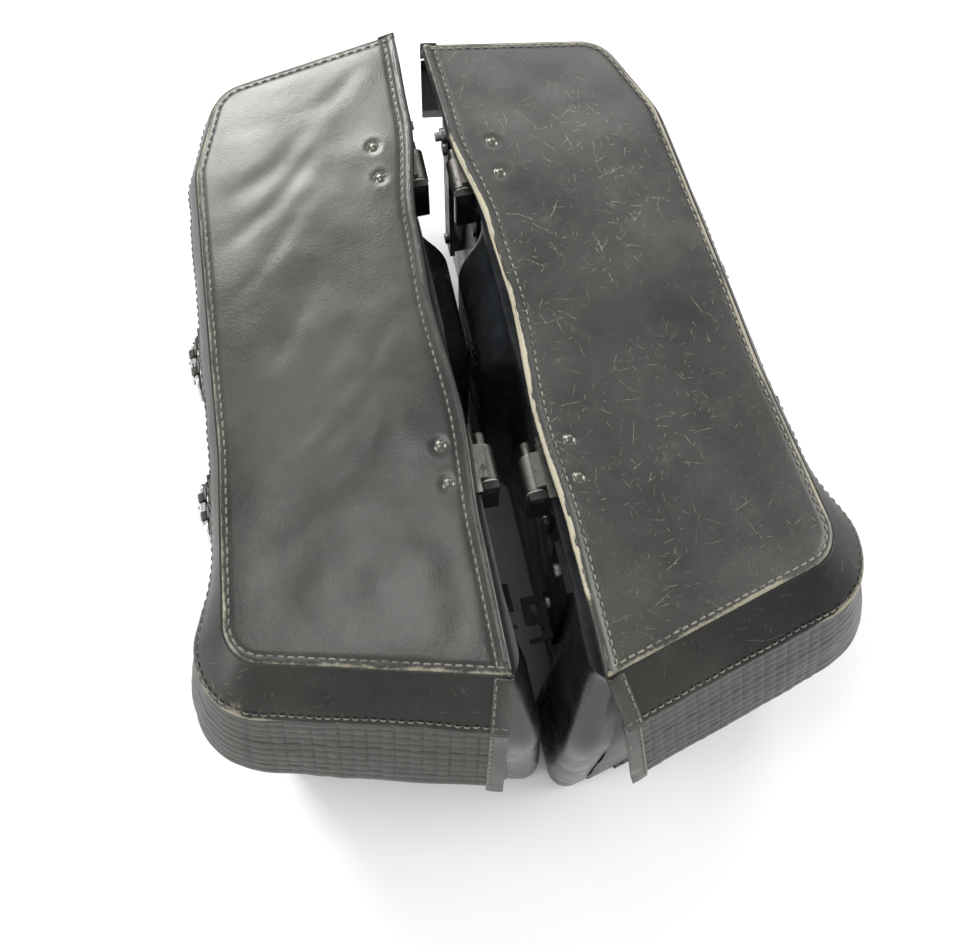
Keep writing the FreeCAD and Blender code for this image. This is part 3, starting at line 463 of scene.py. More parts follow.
class Recipe:
    """A node material built up step by step, on coordinates that stay with the object."""

    def __init__(self, name, rough=0.5, metal=0.0, coat=0.0, specular=0.5, sheen=0.0):
        self.material = bpy.data.materials.new(name)
        self.material.use_nodes = True
        self.nodes = self.material.node_tree.nodes
        self.shader = self.nodes["Principled BSDF"]
        self.shader.inputs["Roughness"].default_value = rough
        self.shader.inputs["Metallic"].default_value = metal
        self.shader.inputs["Coat Weight"].default_value = coat
        self.shader.inputs["Coat Roughness"].default_value = 0.25
        self.shader.inputs["Specular IOR Level"].default_value = specular
        self.shader.inputs["Sheen Weight"].default_value = sheen
        self.place = self.nodes.new("ShaderNodeTexCoord").outputs["Object"]
        self.normal = None

    def link(self, source, target):
        self.material.node_tree.links.new(source, target)

    def feed(self, target, value):
        if isinstance(value, bpy.types.NodeSocket):
            self.link(value, target)
        elif isinstance(value, tuple) and len(value) == 3 and target.type == "RGBA":
            target.default_value = (*value, 1)
        else:
            target.default_value = value

    def mapped(self, scale, turn=0.0, shift=0.0):
        node = self.nodes.new("ShaderNodeMapping")
        self.link(self.place, node.inputs["Vector"])
        node.inputs["Location"].default_value = (shift, shift * 1.7, shift * 0.6)
        node.inputs["Rotation"].default_value = (0, 0, turn)
        node.inputs["Scale"].default_value = scale
        return node.outputs["Vector"]

    def noise(self, scale, detail=4.0, rough=0.55, stretch=(1, 1, 1), turn=0.0, shift=0.0, warp=0.0):
        node = self.nodes.new("ShaderNodeTexNoise")
        self.link(self.mapped(stretch, turn, shift), node.inputs["Vector"])
        node.inputs["Scale"].default_value = scale
        node.inputs["Detail"].default_value = detail
        node.inputs["Roughness"].default_value = rough
        node.inputs["Distortion"].default_value = warp
        return node.outputs["Fac"]

    def cells(self, scale, feature="F1", stretch=(1, 1, 1), shift=0.0):
        node = self.nodes.new("ShaderNodeTexVoronoi")
        node.feature = feature
        self.link(self.mapped(stretch, 0, shift), node.inputs["Vector"])
        node.inputs["Scale"].default_value = scale
        return node.outputs["Distance"]

    def ramp(self, source, low, high, first=0.0, last=1.0):
        node = self.nodes.new("ShaderNodeMapRange")
        node.interpolation_type = "SMOOTHSTEP"
        self.feed(node.inputs["Value"], source)
        for key, value in (("From Min", low), ("From Max", high), ("To Min", first), ("To Max", last)):
            node.inputs[key].default_value = value
        return node.outputs["Result"]

    def math(self, kind, first, second=0.0):
        node = self.nodes.new("ShaderNodeMath")
        node.operation = kind
        self.feed(node.inputs[0], first)
        self.feed(node.inputs[1], second)
        return node.outputs[0]

    def mix(self, share, first, second):
        node = self.nodes.new("ShaderNodeMix")
        node.data_type = "RGBA"
        self.feed(node.inputs["Factor"], share)
        self.feed(node.inputs["A"], first)
        self.feed(node.inputs["B"], second)
        return node.outputs["Result"]

    def spread(self, source, axis):
        node = self.nodes.new("ShaderNodeSeparateXYZ")
        self.link(source, node.inputs[0])
        return node.outputs[axis]

    def scratches(self, scale, wide, long, share, shift):
        """Short fine scratches at any angle, at most one in each cell and in a share of the cells."""
        place = self.mapped((1, 1, 1), 0, shift)
        wander = self.nodes.new("ShaderNodeTexNoise")
        self.link(place, wander.inputs["Vector"])
        wander.inputs["Scale"].default_value = 60
        bend = self.nodes.new("ShaderNodeVectorMath")
        bend.operation = "MULTIPLY_ADD"
        self.link(wander.outputs["Color"], bend.inputs[0])
        bend.inputs[1].default_value = (0.004, 0.004, 0)
        self.link(place, bend.inputs[2])
        cell = self.nodes.new("ShaderNodeTexVoronoi")
        cell.voronoi_dimensions = "2D"
        self.link(bend.outputs[0], cell.inputs["Vector"])
        cell.inputs["Scale"].default_value = scale
        offset = self.nodes.new("ShaderNodeVectorMath")
        offset.operation = "SUBTRACT"
        self.link(bend.outputs[0], offset.inputs[0])
        self.link(cell.outputs["Position"], offset.inputs[1])
        turned = self.nodes.new("ShaderNodeVectorRotate")
        turned.rotation_type = "Z_AXIS"
        self.link(offset.outputs[0], turned.inputs["Vector"])
        self.link(self.math("MULTIPLY", self.spread(cell.outputs["Color"], 0), 6.28), turned.inputs["Angle"])
        thin = self.ramp(self.math("ABSOLUTE", self.spread(turned.outputs[0], 0)), wide, wide * 0.35)
        reach = self.ramp(self.math("ABSOLUTE", self.spread(turned.outputs[0], 1)), long, long * 0.4)
        kept = self.math("LESS_THAN", self.spread(cell.outputs["Color"], 1), share)
        return self.math("MULTIPLY", self.math("MULTIPLY", thin, reach), kept)

    def value(self, name):
        node = self.nodes.new("ShaderNodeAttribute")
        node.attribute_name = name
        return node.outputs["Fac"]

    def bump(self, height, distance, strength=1.0):
        node = self.nodes.new("ShaderNodeBump")
        node.inputs["Distance"].default_value = distance
        node.inputs["Strength"].default_value = strength
        self.link(height, node.inputs["Height"])
        if self.normal is not None:
            self.link(self.normal, node.inputs["Normal"])
        self.normal = node.outputs["Normal"]

    def done(self, colour, rough=None):
        self.feed(self.shader.inputs["Base Color"], colour)
        if rough is not None:
            self.link(rough, self.shader.inputs["Roughness"])
        if self.normal is not None:
            self.link(self.normal, self.shader.inputs["Normal"])
        return self.material


# Scratches in the leather: cells to a metre, half width, half length and the share of cells marked.
SCRATCHES = ((30, 0.00045, 0.011, 0.55), (62, 0.00036, 0.006, 0.55), (120, 0.00032, 0.003, 0.45))


def leather(name, dark, light, scuffs, gloss, seed, worn=(0.30, 0.275, 0.20), weave=False, shine=0.55):
    """Waxed black leather: mottled, finely grained, scratched pale and worn through at edges, with broad patches
    of painted sheen and, when woven, painted shade in the weave's low places.
    """
    recipe = Recipe(name, coat=gloss * 0.35, specular=shine)
    recipe.shader.inputs["Specular Tint"].default_value = (0.98, 1.0, 0.93, 1)
    mottle = recipe.noise(9, 5, 0.6, shift=seed)
    fine = recipe.noise(70, 4, 0.6, shift=seed + 2)
    tone = recipe.math("ADD", recipe.math("MULTIPLY", mottle, 0.7), recipe.math("MULTIPLY", fine, 0.3))
    colour = recipe.mix(recipe.ramp(tone, 0.36, 0.66), dark, light)
    painted = recipe.value("scuff")
    patches = recipe.ramp(recipe.noise(16, 3, 0.5, shift=seed + 5), 0.36, 0.62, 0.15, 1.0)
    amount = recipe.math("MULTIPLY", recipe.math("MULTIPLY", painted, patches), 0.35 + 0.65 * scuffs)
    marks = None
    for index, (scale, wide, long, share) in enumerate(SCRATCHES):
        line = recipe.scratches(scale, wide, long, share * (0.4 + 0.6 * scuffs), seed + index * 3.3)
        marks = line if marks is None else recipe.math("MAXIMUM", marks, line)
    broken = recipe.ramp(recipe.noise(420, 3, 0.7, shift=seed + 7), 0.34, 0.60)
    marks = recipe.math("MULTIPLY", recipe.math("MULTIPLY", marks, broken), amount)
    specks = recipe.ramp(recipe.noise(360, 3, 0.6, shift=seed + 9), 0.72 - 0.05 * scuffs, 0.80)
    marks = recipe.math("MAXIMUM", marks, recipe.math("MULTIPLY", specks, amount))
    marks = recipe.math("MINIMUM", marks, 0.92)
    colour = recipe.mix(marks, colour, (0.27, 0.245, 0.18))
    haze = recipe.ramp(recipe.noise(55, 5, 0.75, shift=seed + 6), 0.50, 0.75)
    colour = recipe.mix(recipe.math("MULTIPLY", haze, recipe.math("MULTIPLY", amount, 0.30)), colour,
                        (0.12, 0.112, 0.085))
    # Painted highlight: broad soft patches are lightened towards grey in place of pools of gloss light.
    painted_sheen_pools = recipe.ramp(recipe.noise(5.5, 4, 0.6, shift=seed + 8, warp=0.4), 0.46, 0.68)
    colour = recipe.mix(recipe.math("MULTIPLY", painted_sheen_pools, 0.16 + 0.22 * scuffs), colour, (0.075, 0.075, 0.062))
    ragged = recipe.math("ADD", recipe.math("MULTIPLY", recipe.noise(160, 5, 0.7), 0.5),
                         recipe.math("MULTIPLY", recipe.noise(620, 3, 0.7), 0.35))
    rub = recipe.math("ADD", recipe.value("wear"), ragged)
    rub = recipe.ramp(rub, 0.86, 1.16)
    colour = recipe.mix(recipe.math("MULTIPLY", rub, 0.9), colour, worn)
    if weave:
        # Painted shade: the weave's low places between the strands are darkened nearly to black.
        relief = recipe.value("relief")
        colour = recipe.mix(recipe.ramp(relief, 0.80, 0.15), colour, (0.003, 0.003, 0.003))
    rough = recipe.ramp(mottle, 0.3, 0.7, 0.50 - gloss * 0.26, 0.62 - gloss * 0.24)
    rough = recipe.math("ADD", rough, recipe.math("MULTIPLY", recipe.math("MAXIMUM", marks, rub), 0.25))
    recipe.bump(recipe.noise(38, 4, 0.6, shift=seed + 4), 0.0012, 0.3)
    recipe.bump(recipe.cells(620, "F1", shift=seed), 0.00022, 0.4)
    recipe.bump(recipe.noise(1500, 3, 0.6), 0.00012, 0.4)
    return recipe.done(colour, rough)


def thread(name, base):
    recipe = Recipe(name, rough=0.85, sheen=0.3)
    twist = recipe.noise(1, 2, 0.5, stretch=(1800, 1800, 1800))
    dirt = recipe.noise(42, 4, 0.6)
    colour = recipe.mix(recipe.ramp(twist, 0.35, 0.65), tuple(c * 0.55 for c in base), base)
    colour = recipe.mix(recipe.ramp(dirt, 0.50, 0.66, 0.0, 0.7), colour, (0.045, 0.044, 0.038))
    recipe.bump(twist, 0.0003, 0.6)
    return recipe.done(colour)


def metal(name, base, rough, grime, spread=0.15, pits=0.0002):
    recipe = Recipe(name, rough=rough, metal=1.0)
    cloudy = recipe.noise(90, 5, 0.65)
    specks = recipe.noise(520, 3, 0.6)
    stain = recipe.ramp(recipe.math("ADD", recipe.math("MULTIPLY", cloudy, 0.6),
                                    recipe.math("MULTIPLY", specks, 0.4)), 0.50, 0.64)
    colour = recipe.mix(recipe.math("MULTIPLY", stain, 0.8), base, grime)
    recipe.bump(specks, pits, 0.4)
    recipe.bump(recipe.noise(1, 2, 0.5, stretch=(1400, 60, 1400)), 0.0001, 0.25)
    return recipe.done(colour, recipe.ramp(cloudy, 0.3, 0.7, rough - spread / 2, rough + spread))


def coated(name, base, chip, rough, chips=0.72, grain=900.0, depth=0.00015):
    """Painted steel or moulded plastic: near black, faintly grained, rubbed at random places."""
    recipe = Recipe(name, rough=rough, specular=0.45)
    cloudy = recipe.noise(26, 5, 0.6)
    rubbed = recipe.ramp(recipe.noise(260, 5, 0.7), chips, chips + 0.06)
    colour = recipe.mix(recipe.ramp(cloudy, 0.35, 0.7), base, tuple(c * 1.7 + 0.004 for c in base))
    colour = recipe.mix(rubbed, colour, chip)
    recipe.bump(recipe.noise(grain, 3, 0.6), depth, 0.5)
    recipe.bump(cloudy, 0.001, 0.15)
    return recipe.done(colour, recipe.ramp(cloudy, 0.3, 0.7, rough - 0.08, rough + 0.12))


def nylon(name):
    recipe = Recipe(name, rough=0.45)
    grime = recipe.ramp(recipe.noise(240, 4, 0.65), 0.45, 0.66)
    recipe.bump(recipe.noise(800, 2, 0.5), 0.0001, 0.4)
    return recipe.done(recipe.mix(grime, (0.62, 0.60, 0.55), (0.20, 0.18, 0.15)))


def foam(name):
    recipe = Recipe(name, rough=0.95)
    pores = recipe.cells(700)
    recipe.bump(pores, 0.0006, 0.9)
    return recipe.done(recipe.mix(recipe.ramp(pores, 0.1, 0.6), (0.012, 0.012, 0.013), (0.05, 0.05, 0.052)))


def floor_paint(name):
    recipe = Recipe(name, rough=0.75)
    shade = recipe.noise(3, 3, 0.5)
    return recipe.done(recipe.mix(shade, (0.90, 0.90, 0.90), (0.93, 0.93, 0.93)))


MATERIALS = {
    "left": {
        "top": leather("LeatherTopLeft", (0.010, 0.0105, 0.0095), (0.030, 0.031, 0.026), 0.25, 0.85, 1.0,
                       shine=0.5),
        "band": leather("LeatherBandLeft", (0.006, 0.0065, 0.006), (0.016, 0.0165, 0.015), 0.35, 0.45, 2.0,
                        shine=0.35),
        "weave": leather("LeatherWovenLeft", (0.014, 0.014, 0.011), (0.036, 0.036, 0.029), 0.2, 0.35, 3.0,
                         weave=True, shine=0.4),
        "binding": leather("LeatherBindingLeft", (0.011, 0.012, 0.011), (0.026, 0.026, 0.023), 0.3, 0.8, 4.0),
        "cover": leather("LeatherCoverLeft", (0.010, 0.010, 0.010), (0.020, 0.020, 0.019), 0.2, 0.4, 5.0),
        "strap": leather("LeatherStrapLeft", (0.009, 0.009, 0.009), (0.024, 0.023, 0.020), 0.3, 0.6, 6.0),
    },
    "right": {
        "top": leather("LeatherTopRight", (0.011, 0.0115, 0.0115), (0.024, 0.0245, 0.023), 1.0, 0.55, 11.0),
        "band": leather("LeatherBandRight", (0.005, 0.0055, 0.006), (0.010, 0.0105, 0.0105), 0.5, 0.3, 12.0,
                        shine=0.2),
        "weave": leather("LeatherWovenRight", (0.014, 0.014, 0.011), (0.036, 0.036, 0.029), 0.3, 0.35, 13.0,
                         weave=True, shine=0.4),
        "binding": leather("LeatherBindingRight", (0.012, 0.012, 0.011), (0.028, 0.027, 0.023), 0.8, 0.5,
                           14.0, worn=(0.46, 0.42, 0.31)),
        "cover": leather("LeatherCoverRight", (0.010, 0.010, 0.010), (0.020, 0.020, 0.019), 0.3, 0.4, 15.0),
        "strap": leather("LeatherStrapRight", (0.009, 0.009, 0.009), (0.024, 0.023, 0.020), 0.4, 0.6, 16.0),
    },
}
THREADS = {"left": thread("ThreadLeft", (0.21, 0.205, 0.165)), "right": thread("ThreadRight", (0.27, 0.25, 0.19))}
RIVET_STEEL = metal("RivetSteel", (0.15, 0.15, 0.13), 0.26, (0.07, 0.068, 0.055), pits=0.00005)
CAD_FINISHES = {
    "hinge_steel": metal("HingeSteel", (0.17, 0.165, 0.15), 0.40, (0.03, 0.028, 0.025)),
    "rivet_steel": RIVET_STEEL,
    "black_steel": coated("BlackSteel", (0.006, 0.0065, 0.007), (0.16, 0.15, 0.14), 0.38, 0.70),
    "zinc_steel": metal("ZincSteel", (0.36, 0.36, 0.35), 0.42, (0.07, 0.06, 0.05)),
    "white_bush": nylon("WhiteNylon"),
    "buckle_chrome": metal("BuckleChrome", (0.72, 0.72, 0.72), 0.12, (0.30, 0.28, 0.26), 0.08, 0.00005),
    "moulded_plastic": coated("MouldedPlastic", (0.014, 0.016, 0.018), (0.05, 0.05, 0.048), 0.28, 0.80,
                              1300, 0.0001),
    "foam": foam("PadFoam"),
}
# Near-black finish for the strap holes: painted shade in place of the shadowed insides of the holes.
HOLE_SHADE = coated("HolePaintedShade", (0.003, 0.003, 0.003), (0.01, 0.01, 0.01), 0.8)


# ---- Lid pieces -------------------------------------------------------------------------

def make_lid_top(name, side, seed):
    patch = lid_patch(236, 92)
    z = lid_height(patch, name, seed)
    rows, columns = z.shape
    loop = border(patch)
    rim = np.array([patch[r, c] for r, c in loop])
    rim_z = np.array([z[r, c] for r, c in loop])
    along = np.roll(rim, -1, axis=0) - np.roll(rim, 1, axis=0)
    out = np.stack((along[:, 1], -along[:, 0]), axis=1)
    out /= np.maximum(np.linalg.norm(out, axis=1), 1e-9)[:, None]
    if np.mean(np.sum(out * (rim - patch.mean(axis=(0, 1))), axis=1)) < 0:
        out = -out
    points = [world(side, patch[..., 0], patch[..., 1], z).reshape(-1, 3)]
    for reach, drop in ((0.0007, 0.0006), (0.0010, 0.0014), (0.0008, 0.0023), (-0.0020, 0.0027)):
        ring = rim + out * reach
        points.append(world(side, ring[:, 0], ring[:, 1], rim_z - drop))
    faces = grid_faces(rows, columns)
    count = len(loop)
    indices = [r * columns + c for r, c in loop]
    for step in range(4):
        start = rows * columns + step * count
        for k in range(count):
            ahead = (k + 1) % count
            upper = (indices[k], indices[ahead]) if step == 0 else (start - count + k, start - count + ahead)
            faces.append((upper[1], upper[0], start + k, start + ahead))
    to_seam = nearest(patch, SEAM)
    to_edge = nearest(patch, EDGE)
    rubbed = {"left": 0.55, "right": 0.80}[name]
    wear = rubbed * np.exp(-(to_seam / 0.0032) ** 2) * (1 + 0.5 * cloud(patch, 14, seed + 8))
    wear += {"left": 0.15, "right": 0.55}[name] * np.exp(-(to_edge / 0.004) ** 2)
    wear += 0.12 * np.maximum(0, cloud(patch, 26, seed + 8))
    scuff = scuff_map(patch, name, seed)
    values = {"wear": np.concatenate((wear.ravel(), np.full(4 * count, 0.55))),
              "scuff": np.concatenate((scuff.ravel(), np.full(4 * count, 0.6)))}
    item = new_mesh(f"{name}_leather_top", np.concatenate(points), faces, MATERIALS[name]["top"],
                    side > 0, values)
    finish_piece(item, f"{name}_lid", "top_leather", f"{name}_lid_top")
    return item


def scuff_map(points, name, seed):
    """How scratched the leather is: the right lid over its middle and rear, the left a little."""
    a, y = points[..., 0], points[..., 1]
    broad = np.clip(0.5 + 0.9 * cloud(points, 9, seed + 20), 0, 1)
    if name == "left":
        return 0.10 + 0.16 * broad + 0.35 * np.exp(-((a - 0.12) / 0.03) ** 2 - ((y - 0.26) / 0.02) ** 2)
    rear = np.exp(-((a - 0.105) / 0.05) ** 2 - ((y - 0.385) / 0.10) ** 2)
    front = np.exp(-((a - 0.15) / 0.07) ** 2 - ((y - 0.12) / 0.09) ** 2)
    return 0.30 + 0.45 * broad + 0.95 * rear + 0.55 * front


def make_lid_pad(name, side):
    """The foam layer: a crowned pad between the leather top and the pan."""
    patch = lid_patch(48, 20, inset=0.0035)
    a, y = patch[..., 0], patch[..., 1]
    shrink = 1 - np.exp(-np.minimum(nearest(patch, SEAM), nearest(patch, EDGE) - 0.004) / 0.006)
    top = surface_z(a, y) - LEATHER - 0.0003 - 0.0012 * (1 - shrink)
    low = surface_z(a, y) - LEATHER - PAD + 0.0002
    grid = np.stack((world(side, a, y, top), world(side, a, y, low)))
    rows, columns = a.shape
    loop = [r * columns + c for r, c in border(patch)]
    count = rows * columns
    faces = grid_faces(rows, columns)
    faces += [tuple(i + count for i in face[::-1]) for face in grid_faces(rows, columns)]
    faces += [(loop[k - 1], loop[k], loop[k] + count, loop[k - 1] + count) for k in range(len(loop))]
    item = fix_normals(new_mesh(f"{name}_foam_pad", grid.reshape(-1, 3), faces, CAD_FINISHES["foam"]))
    finish_piece(item, f"{name}_lid", "foam", f"{name}_lid_pad")


def make_bead(name, side, seed):
    """The rolled, bound inboard edge, its skin rubbed through along the crest."""
    ys = np.linspace(0.001, LENGTH - 0.001, 300)
    edge = inner_edge(ys)
    top = surface_z(edge, ys) + 0.0012
    turns = np.linspace(0, 2 * math.pi, 15)[:-1]
    rough = cloud(np.stack((edge, ys), axis=1), 60, seed)
    wide = BEAD_WIDTH * 0.66 * (1 + 0.10 * rough)
    tall = BEAD_HEIGHT * 0.5 * (1 + 0.08 * rough)
    closing = np.sqrt(np.clip(np.minimum(ys, LENGTH - ys) / 0.004, 0.15, 1))
    a = edge[None] + wide - np.cos(turns)[:, None] * (wide * closing)[None]
    z = (top - BEAD_HEIGHT * 0.5)[None] + np.sin(turns)[:, None] * (tall * closing)[None]
    grid = world(side, a, np.broadcast_to(ys, a.shape), z)
    crest = np.maximum(0, np.sin(turns + 0.5))[:, None] ** 2
    patches = cloud(np.stack((edge, ys), axis=1), 24, seed + 2)[None]
    amount = {"left": 0.25, "right": 0.95}[name]
    fade = ease((ys - 0.02) / 0.08) * ease((0.50 - ys) / 0.06) if name == "right" else 0.5
    wear = crest * (amount * fade + 0.35 * patches * amount)
    item = grid_object(f"{name}_rolled_edge", side, grid, MATERIALS[name]["binding"], wrap_rows=True,
                       values={"wear": wear, "scuff": np.full(wear.shape, 0.5)})
    fix_normals(item)
    finish_piece(item, f"{name}_lid", "binding_leather", f"{name}_lid_edge_bead")


def flares():
    """Flare of the band and of the skirt at each seam point: wide at the front end."""
    front = np.maximum(0, -SEAM_OUT[:, 1])
    share = np.maximum(ease(front * 1.6), ease((0.150 - SEAM[:, 1]) / 0.110))
    share = np.where(SEAM_OUT[:, 1] > 0.3, 0, share)
    for _ in range(12):
        share[1:-1] = (share[:-2] + share[1:-1] * 2 + share[2:]) / 4
    band = BAND_FLARES[0] + (BAND_FLARES[1] - BAND_FLARES[0]) * share
    skirt = SKIRT_FLARES[0] + (SKIRT_FLARES[1] - SKIRT_FLARES[0]) * share
    return band, skirt


BAND_FLARE, SKIRT_FLARE = flares()
SEAM_TOP = surface_z(SEAM[:, 0], SEAM[:, 1])


def hung(side, reach, depth, seed, columns=slice(None), relief=0.0):
    """Points that hang from the seam: reach outside it and depth below it, with soft dents."""
    base = SEAM[columns]
    out = SEAM_OUT[columns]
    run = np.arange(len(SEAM))[columns] * 0.002
    dents = cloud(np.stack(np.broadcast_arrays(run[None], depth * 1.0), axis=-1), 17, seed)
    free = ease((depth - 0.004) / 0.03)
    reach = reach + 0.0013 * dents * free + relief
    a = base[None, :, 0] + out[None, :, 0] * reach
    y = base[None, :, 1] + out[None, :, 1] * reach
    return world(side, a, y, SEAM_TOP[columns][None] - depth)


def closed_sheet(name, side, outer, inner, material, values):
    """A thin hanging sheet: outer rows down, inner rows back up, and its two ends shut."""
    grid = np.concatenate((outer, inner[::-1]))
    rows, columns, _ = grid.shape
    faces = grid_faces(rows, columns, wrap_rows=True)
    faces.append(tuple(r * columns for r in range(rows)))
    faces.append(tuple(r * columns + columns - 1 for r in range(rows))[::-1])
    spread = {}
    for key, numbers in values.items():
        numbers = np.broadcast_to(numbers, outer.shape[:2])
        spread[key] = np.concatenate((numbers, np.zeros(inner.shape[:2])))
    item = new_mesh(name, grid.reshape(-1, 3), faces, material, values=spread)
    return fix_normals(item)


def make_band(name, side, seed):
    share = np.linspace(0, 1, 20)[:, None]
    start = 0.0022
    low = BAND_FLARE[None]
    reach = start + (low - start) * share + 0.0015 * np.sin(math.pi * share)
    depth = 0.0028 + (BAND_DROP - 0.0028) * share
    reach = np.concatenate(([low[0] * 0 - 0.002], reach, low + 0.0002, low - 0.0008))
    depth = np.concatenate(([[0.0030]], depth, [[BAND_DROP + 0.0007]], [[BAND_DROP + 0.0011]]))
    depth = np.broadcast_to(depth, reach.shape)
    groove = 0.0005 * np.exp(-((depth - 0.0302) / 0.0016) ** 2)
    outer = hung(side, reach - groove, depth, seed)
    inner_share = np.linspace(0, 1, 8)[:, None]
    inner_reach = start - LEATHER + (low - start) * inner_share
    inner_depth = np.broadcast_to(0.0045 + (BAND_DROP - 0.0045) * inner_share, inner_reach.shape)
    inner = hung(side, inner_reach, inner_depth, seed)
    corner = np.exp(-(np.linalg.norm(SEAM - np.array((0.228, 0.052)), axis=1) / 0.022) ** 2)[None]
    spots = cloud(outer, 55, seed + 1, 2)
    wear = 0.50 * np.exp(-((depth - BAND_DROP) / 0.0014) ** 2) + 0.75 * corner * ease((depth - 0.014) / 0.016)
    wear = wear * (0.75 + 0.5 * spots)
    scuff = 0.35 + 0.9 * corner + 0.3 * np.maximum(0, spots)
    item = closed_sheet(f"{name}_leather_band", side, outer, inner, MATERIALS[name]["band"],
                        {"wear": wear, "scuff": scuff})
    finish_piece(item, f"{name}_lid", "band_leather", f"{name}_lid_band")
    line_depth = np.full((1, len(SEAM)), 0.0302)
    line_reach = BAND_FLARE[None] * 0.895 + 0.0022 * 0.105 + 0.0002
    line = hung(side, line_reach, line_depth, seed)[0]
    normals = hung_normals(side, 0.35)
    sewn = stitches(f"{name}_band_stitches", line, normals, THREADS[name], 0.0070, 0.0056)
    finish_piece(sewn, f"{name}_lid", "band_leather")


def hung_normals(side, tilt):
    """Outward directions along the seam, tipped up by a share."""
    out = np.stack((side * SEAM_OUT[:, 0], SEAM_OUT[:, 1], np.full(len(SEAM), tilt)), axis=1)
    return out / np.linalg.norm(out, axis=1)[:, None]


def woven(run, down):
    """Height from 0 to 1 of a basket weave whose strands pass over and under each other."""
    u = run / WEAVE_ALONG
    v = down / WEAVE_DOWN
    over = (np.floor(u) + np.floor(v)) % 2 < 0.5
    fu = u - np.floor(u) - 0.5
    fv = v - np.floor(v) - 0.5
    arch_u = np.cos(math.pi * fu * 0.92)
    arch_v = np.cos(math.pi * fv * 0.92)
    edge_u = 1 - np.abs(2 * fu) ** 8
    edge_v = 1 - np.abs(2 * fv) ** 8
    return np.where(over, (0.25 + 0.75 * arch_u) * edge_v, (0.25 + 0.75 * arch_v) * edge_u * 0.92)


def skirt_reach(share):
    """Reach of the skirt's outer face from its top to its hem."""
    top = BAND_FLARE[None] - 0.0050
    return top + (SKIRT_FLARE[None] - top) * share + 0.0022 * np.sin(math.pi * share) * share


def make_skirt(name, side, seed):
    fine = evenly(np.arange(len(SEAM), dtype=float)[:, None], step=0.72)[:, 0]
    places = np.arange(len(SEAM))
    along = [np.interp(fine, places, column) for column in
             (SEAM[:, 0], SEAM[:, 1], SEAM_OUT[:, 0], SEAM_OUT[:, 1], SEAM_TOP)]
    share = np.linspace(0, 1, 84)[:, None]
    coarse = skirt_reach(share)
    reach = np.stack([np.interp(fine, places, row) for row in coarse])
    depth = np.broadcast_to(BAND_DROP - 0.001 + (SKIRT_DROP - BAND_DROP - 0.001) * share, reach.shape)
    run = np.broadcast_to(fine * 0.002, reach.shape)
    relief = woven(run, depth - BAND_DROP)
    fade = ease((SKIRT_DROP - 0.0035 - depth) / 0.003)
    relief = relief * fade
    dents = cloud(np.stack((run, depth), axis=-1)[::6, ::10], 17, seed)
    dents = spread_grid(dents, reach.shape)
    reach = reach + 0.0013 * dents + WEAVE_RISE * (relief - 0.8)
    curl = ease((depth - (SKIRT_DROP - 0.007)) / 0.007)
    reach = reach - 0.0012 * curl ** 2

    def spots(reach, depth):
        a = along[0][None] + along[2][None] * reach
        y = along[1][None] + along[3][None] * reach
        return world(side, a, y, along[4][None] - depth)

    outer = spots(reach, depth)
    inner_pick = slice(None, None, 14)
    inner = spots((reach - WEAVE_RISE * (relief - 0.8))[inner_pick] - LEATHER, depth[inner_pick])
    # The relief value also drives painted shade: the shader darkens the weave's low places. Near the hem it is
    # raised, so the hem is hardly darkened.
    wear = 0.45 * np.exp(-((SKIRT_DROP - depth) / 0.0018) ** 2) + 0.12 * relief
    item = closed_sheet(f"{name}_woven_skirt", side, outer, inner, MATERIALS[name]["weave"],
                        {"wear": wear, "scuff": np.full(reach.shape, 0.3), "relief": relief + (1 - fade) * 0.7})
    finish_piece(item, f"{name}_lid", "woven_leather", f"{name}_lid_skirt")


def spread_grid(values, shape):
    """A coarse grid of numbers drawn out to a finer shape."""
    rows = np.linspace(0, values.shape[0] - 1, shape[0])
    columns = np.linspace(0, values.shape[1] - 1, shape[1])
    tall = np.stack([np.interp(rows, np.arange(values.shape[0]), values[:, k])
                     for k in range(values.shape[1])], axis=1)
    return np.stack([np.interp(columns, np.arange(values.shape[1]), row) for row in tall])


def make_end_strips(name, side, seed):
    """Bound strips down the inboard ends of the band and of the skirt, with their stitching."""
    width = int(END_STRIP / 0.002)
    count = len(SEAM)
    strips = []
    sewn = []
    for columns in (slice(0, width + 1), slice(count - width - 1, count)):
        for low, high, proud in ((0.0026, BAND_DROP + 0.0012, 0.0019), (BAND_DROP + 0.001, SKIRT_DROP - 0.0006, 0.0016)):
            share = np.linspace(0, 1, 16)[:, None]
            depth = low + (high - low) * share
            if low < 0.01:
                reach = 0.0022 + (BAND_FLARE[None] - 0.0022) * share + 0.0015 * np.sin(math.pi * share)
            else:
                reach = skirt_reach(share)
            reach = reach[:, columns]
            depth = np.broadcast_to(depth, reach.shape)
            dome = 0.0004 * np.sin(np.linspace(0, math.pi, reach.shape[1]))[None]
            outer = hung(side, reach + proud + dome, depth, seed, columns)
            inner = hung(side, reach + 0.0002, depth, seed, columns)
            strips.append(closed_sheet(f"{name}_strip", side, outer, inner, MATERIALS[name]["binding"],
                                       {"wear": 0.35 + 0.25 * cloud(outer, 40, seed), "scuff": 0.6 + 0 * depth}))
            column = -2 if columns.start == 0 else 1
            normals = hung_normals(side, 0.25)[columns][column]
            line = hung(side, reach + proud + 0.0002, depth, seed, columns)[1:-1, column]
            sewn.append(stitches(f"{name}_strip_sewn", line, np.repeat(normals[None], len(line), axis=0),
                                 THREADS[name], 0.0068, 0.0052))
    item = join(f"{name}_end_bindings", strips)
    finish_piece(item, f"{name}_lid", "binding_leather", f"{name}_lid_end_bindings")
    finish_piece(join(f"{name}_end_stitches", sewn), f"{name}_lid", "binding_leather")


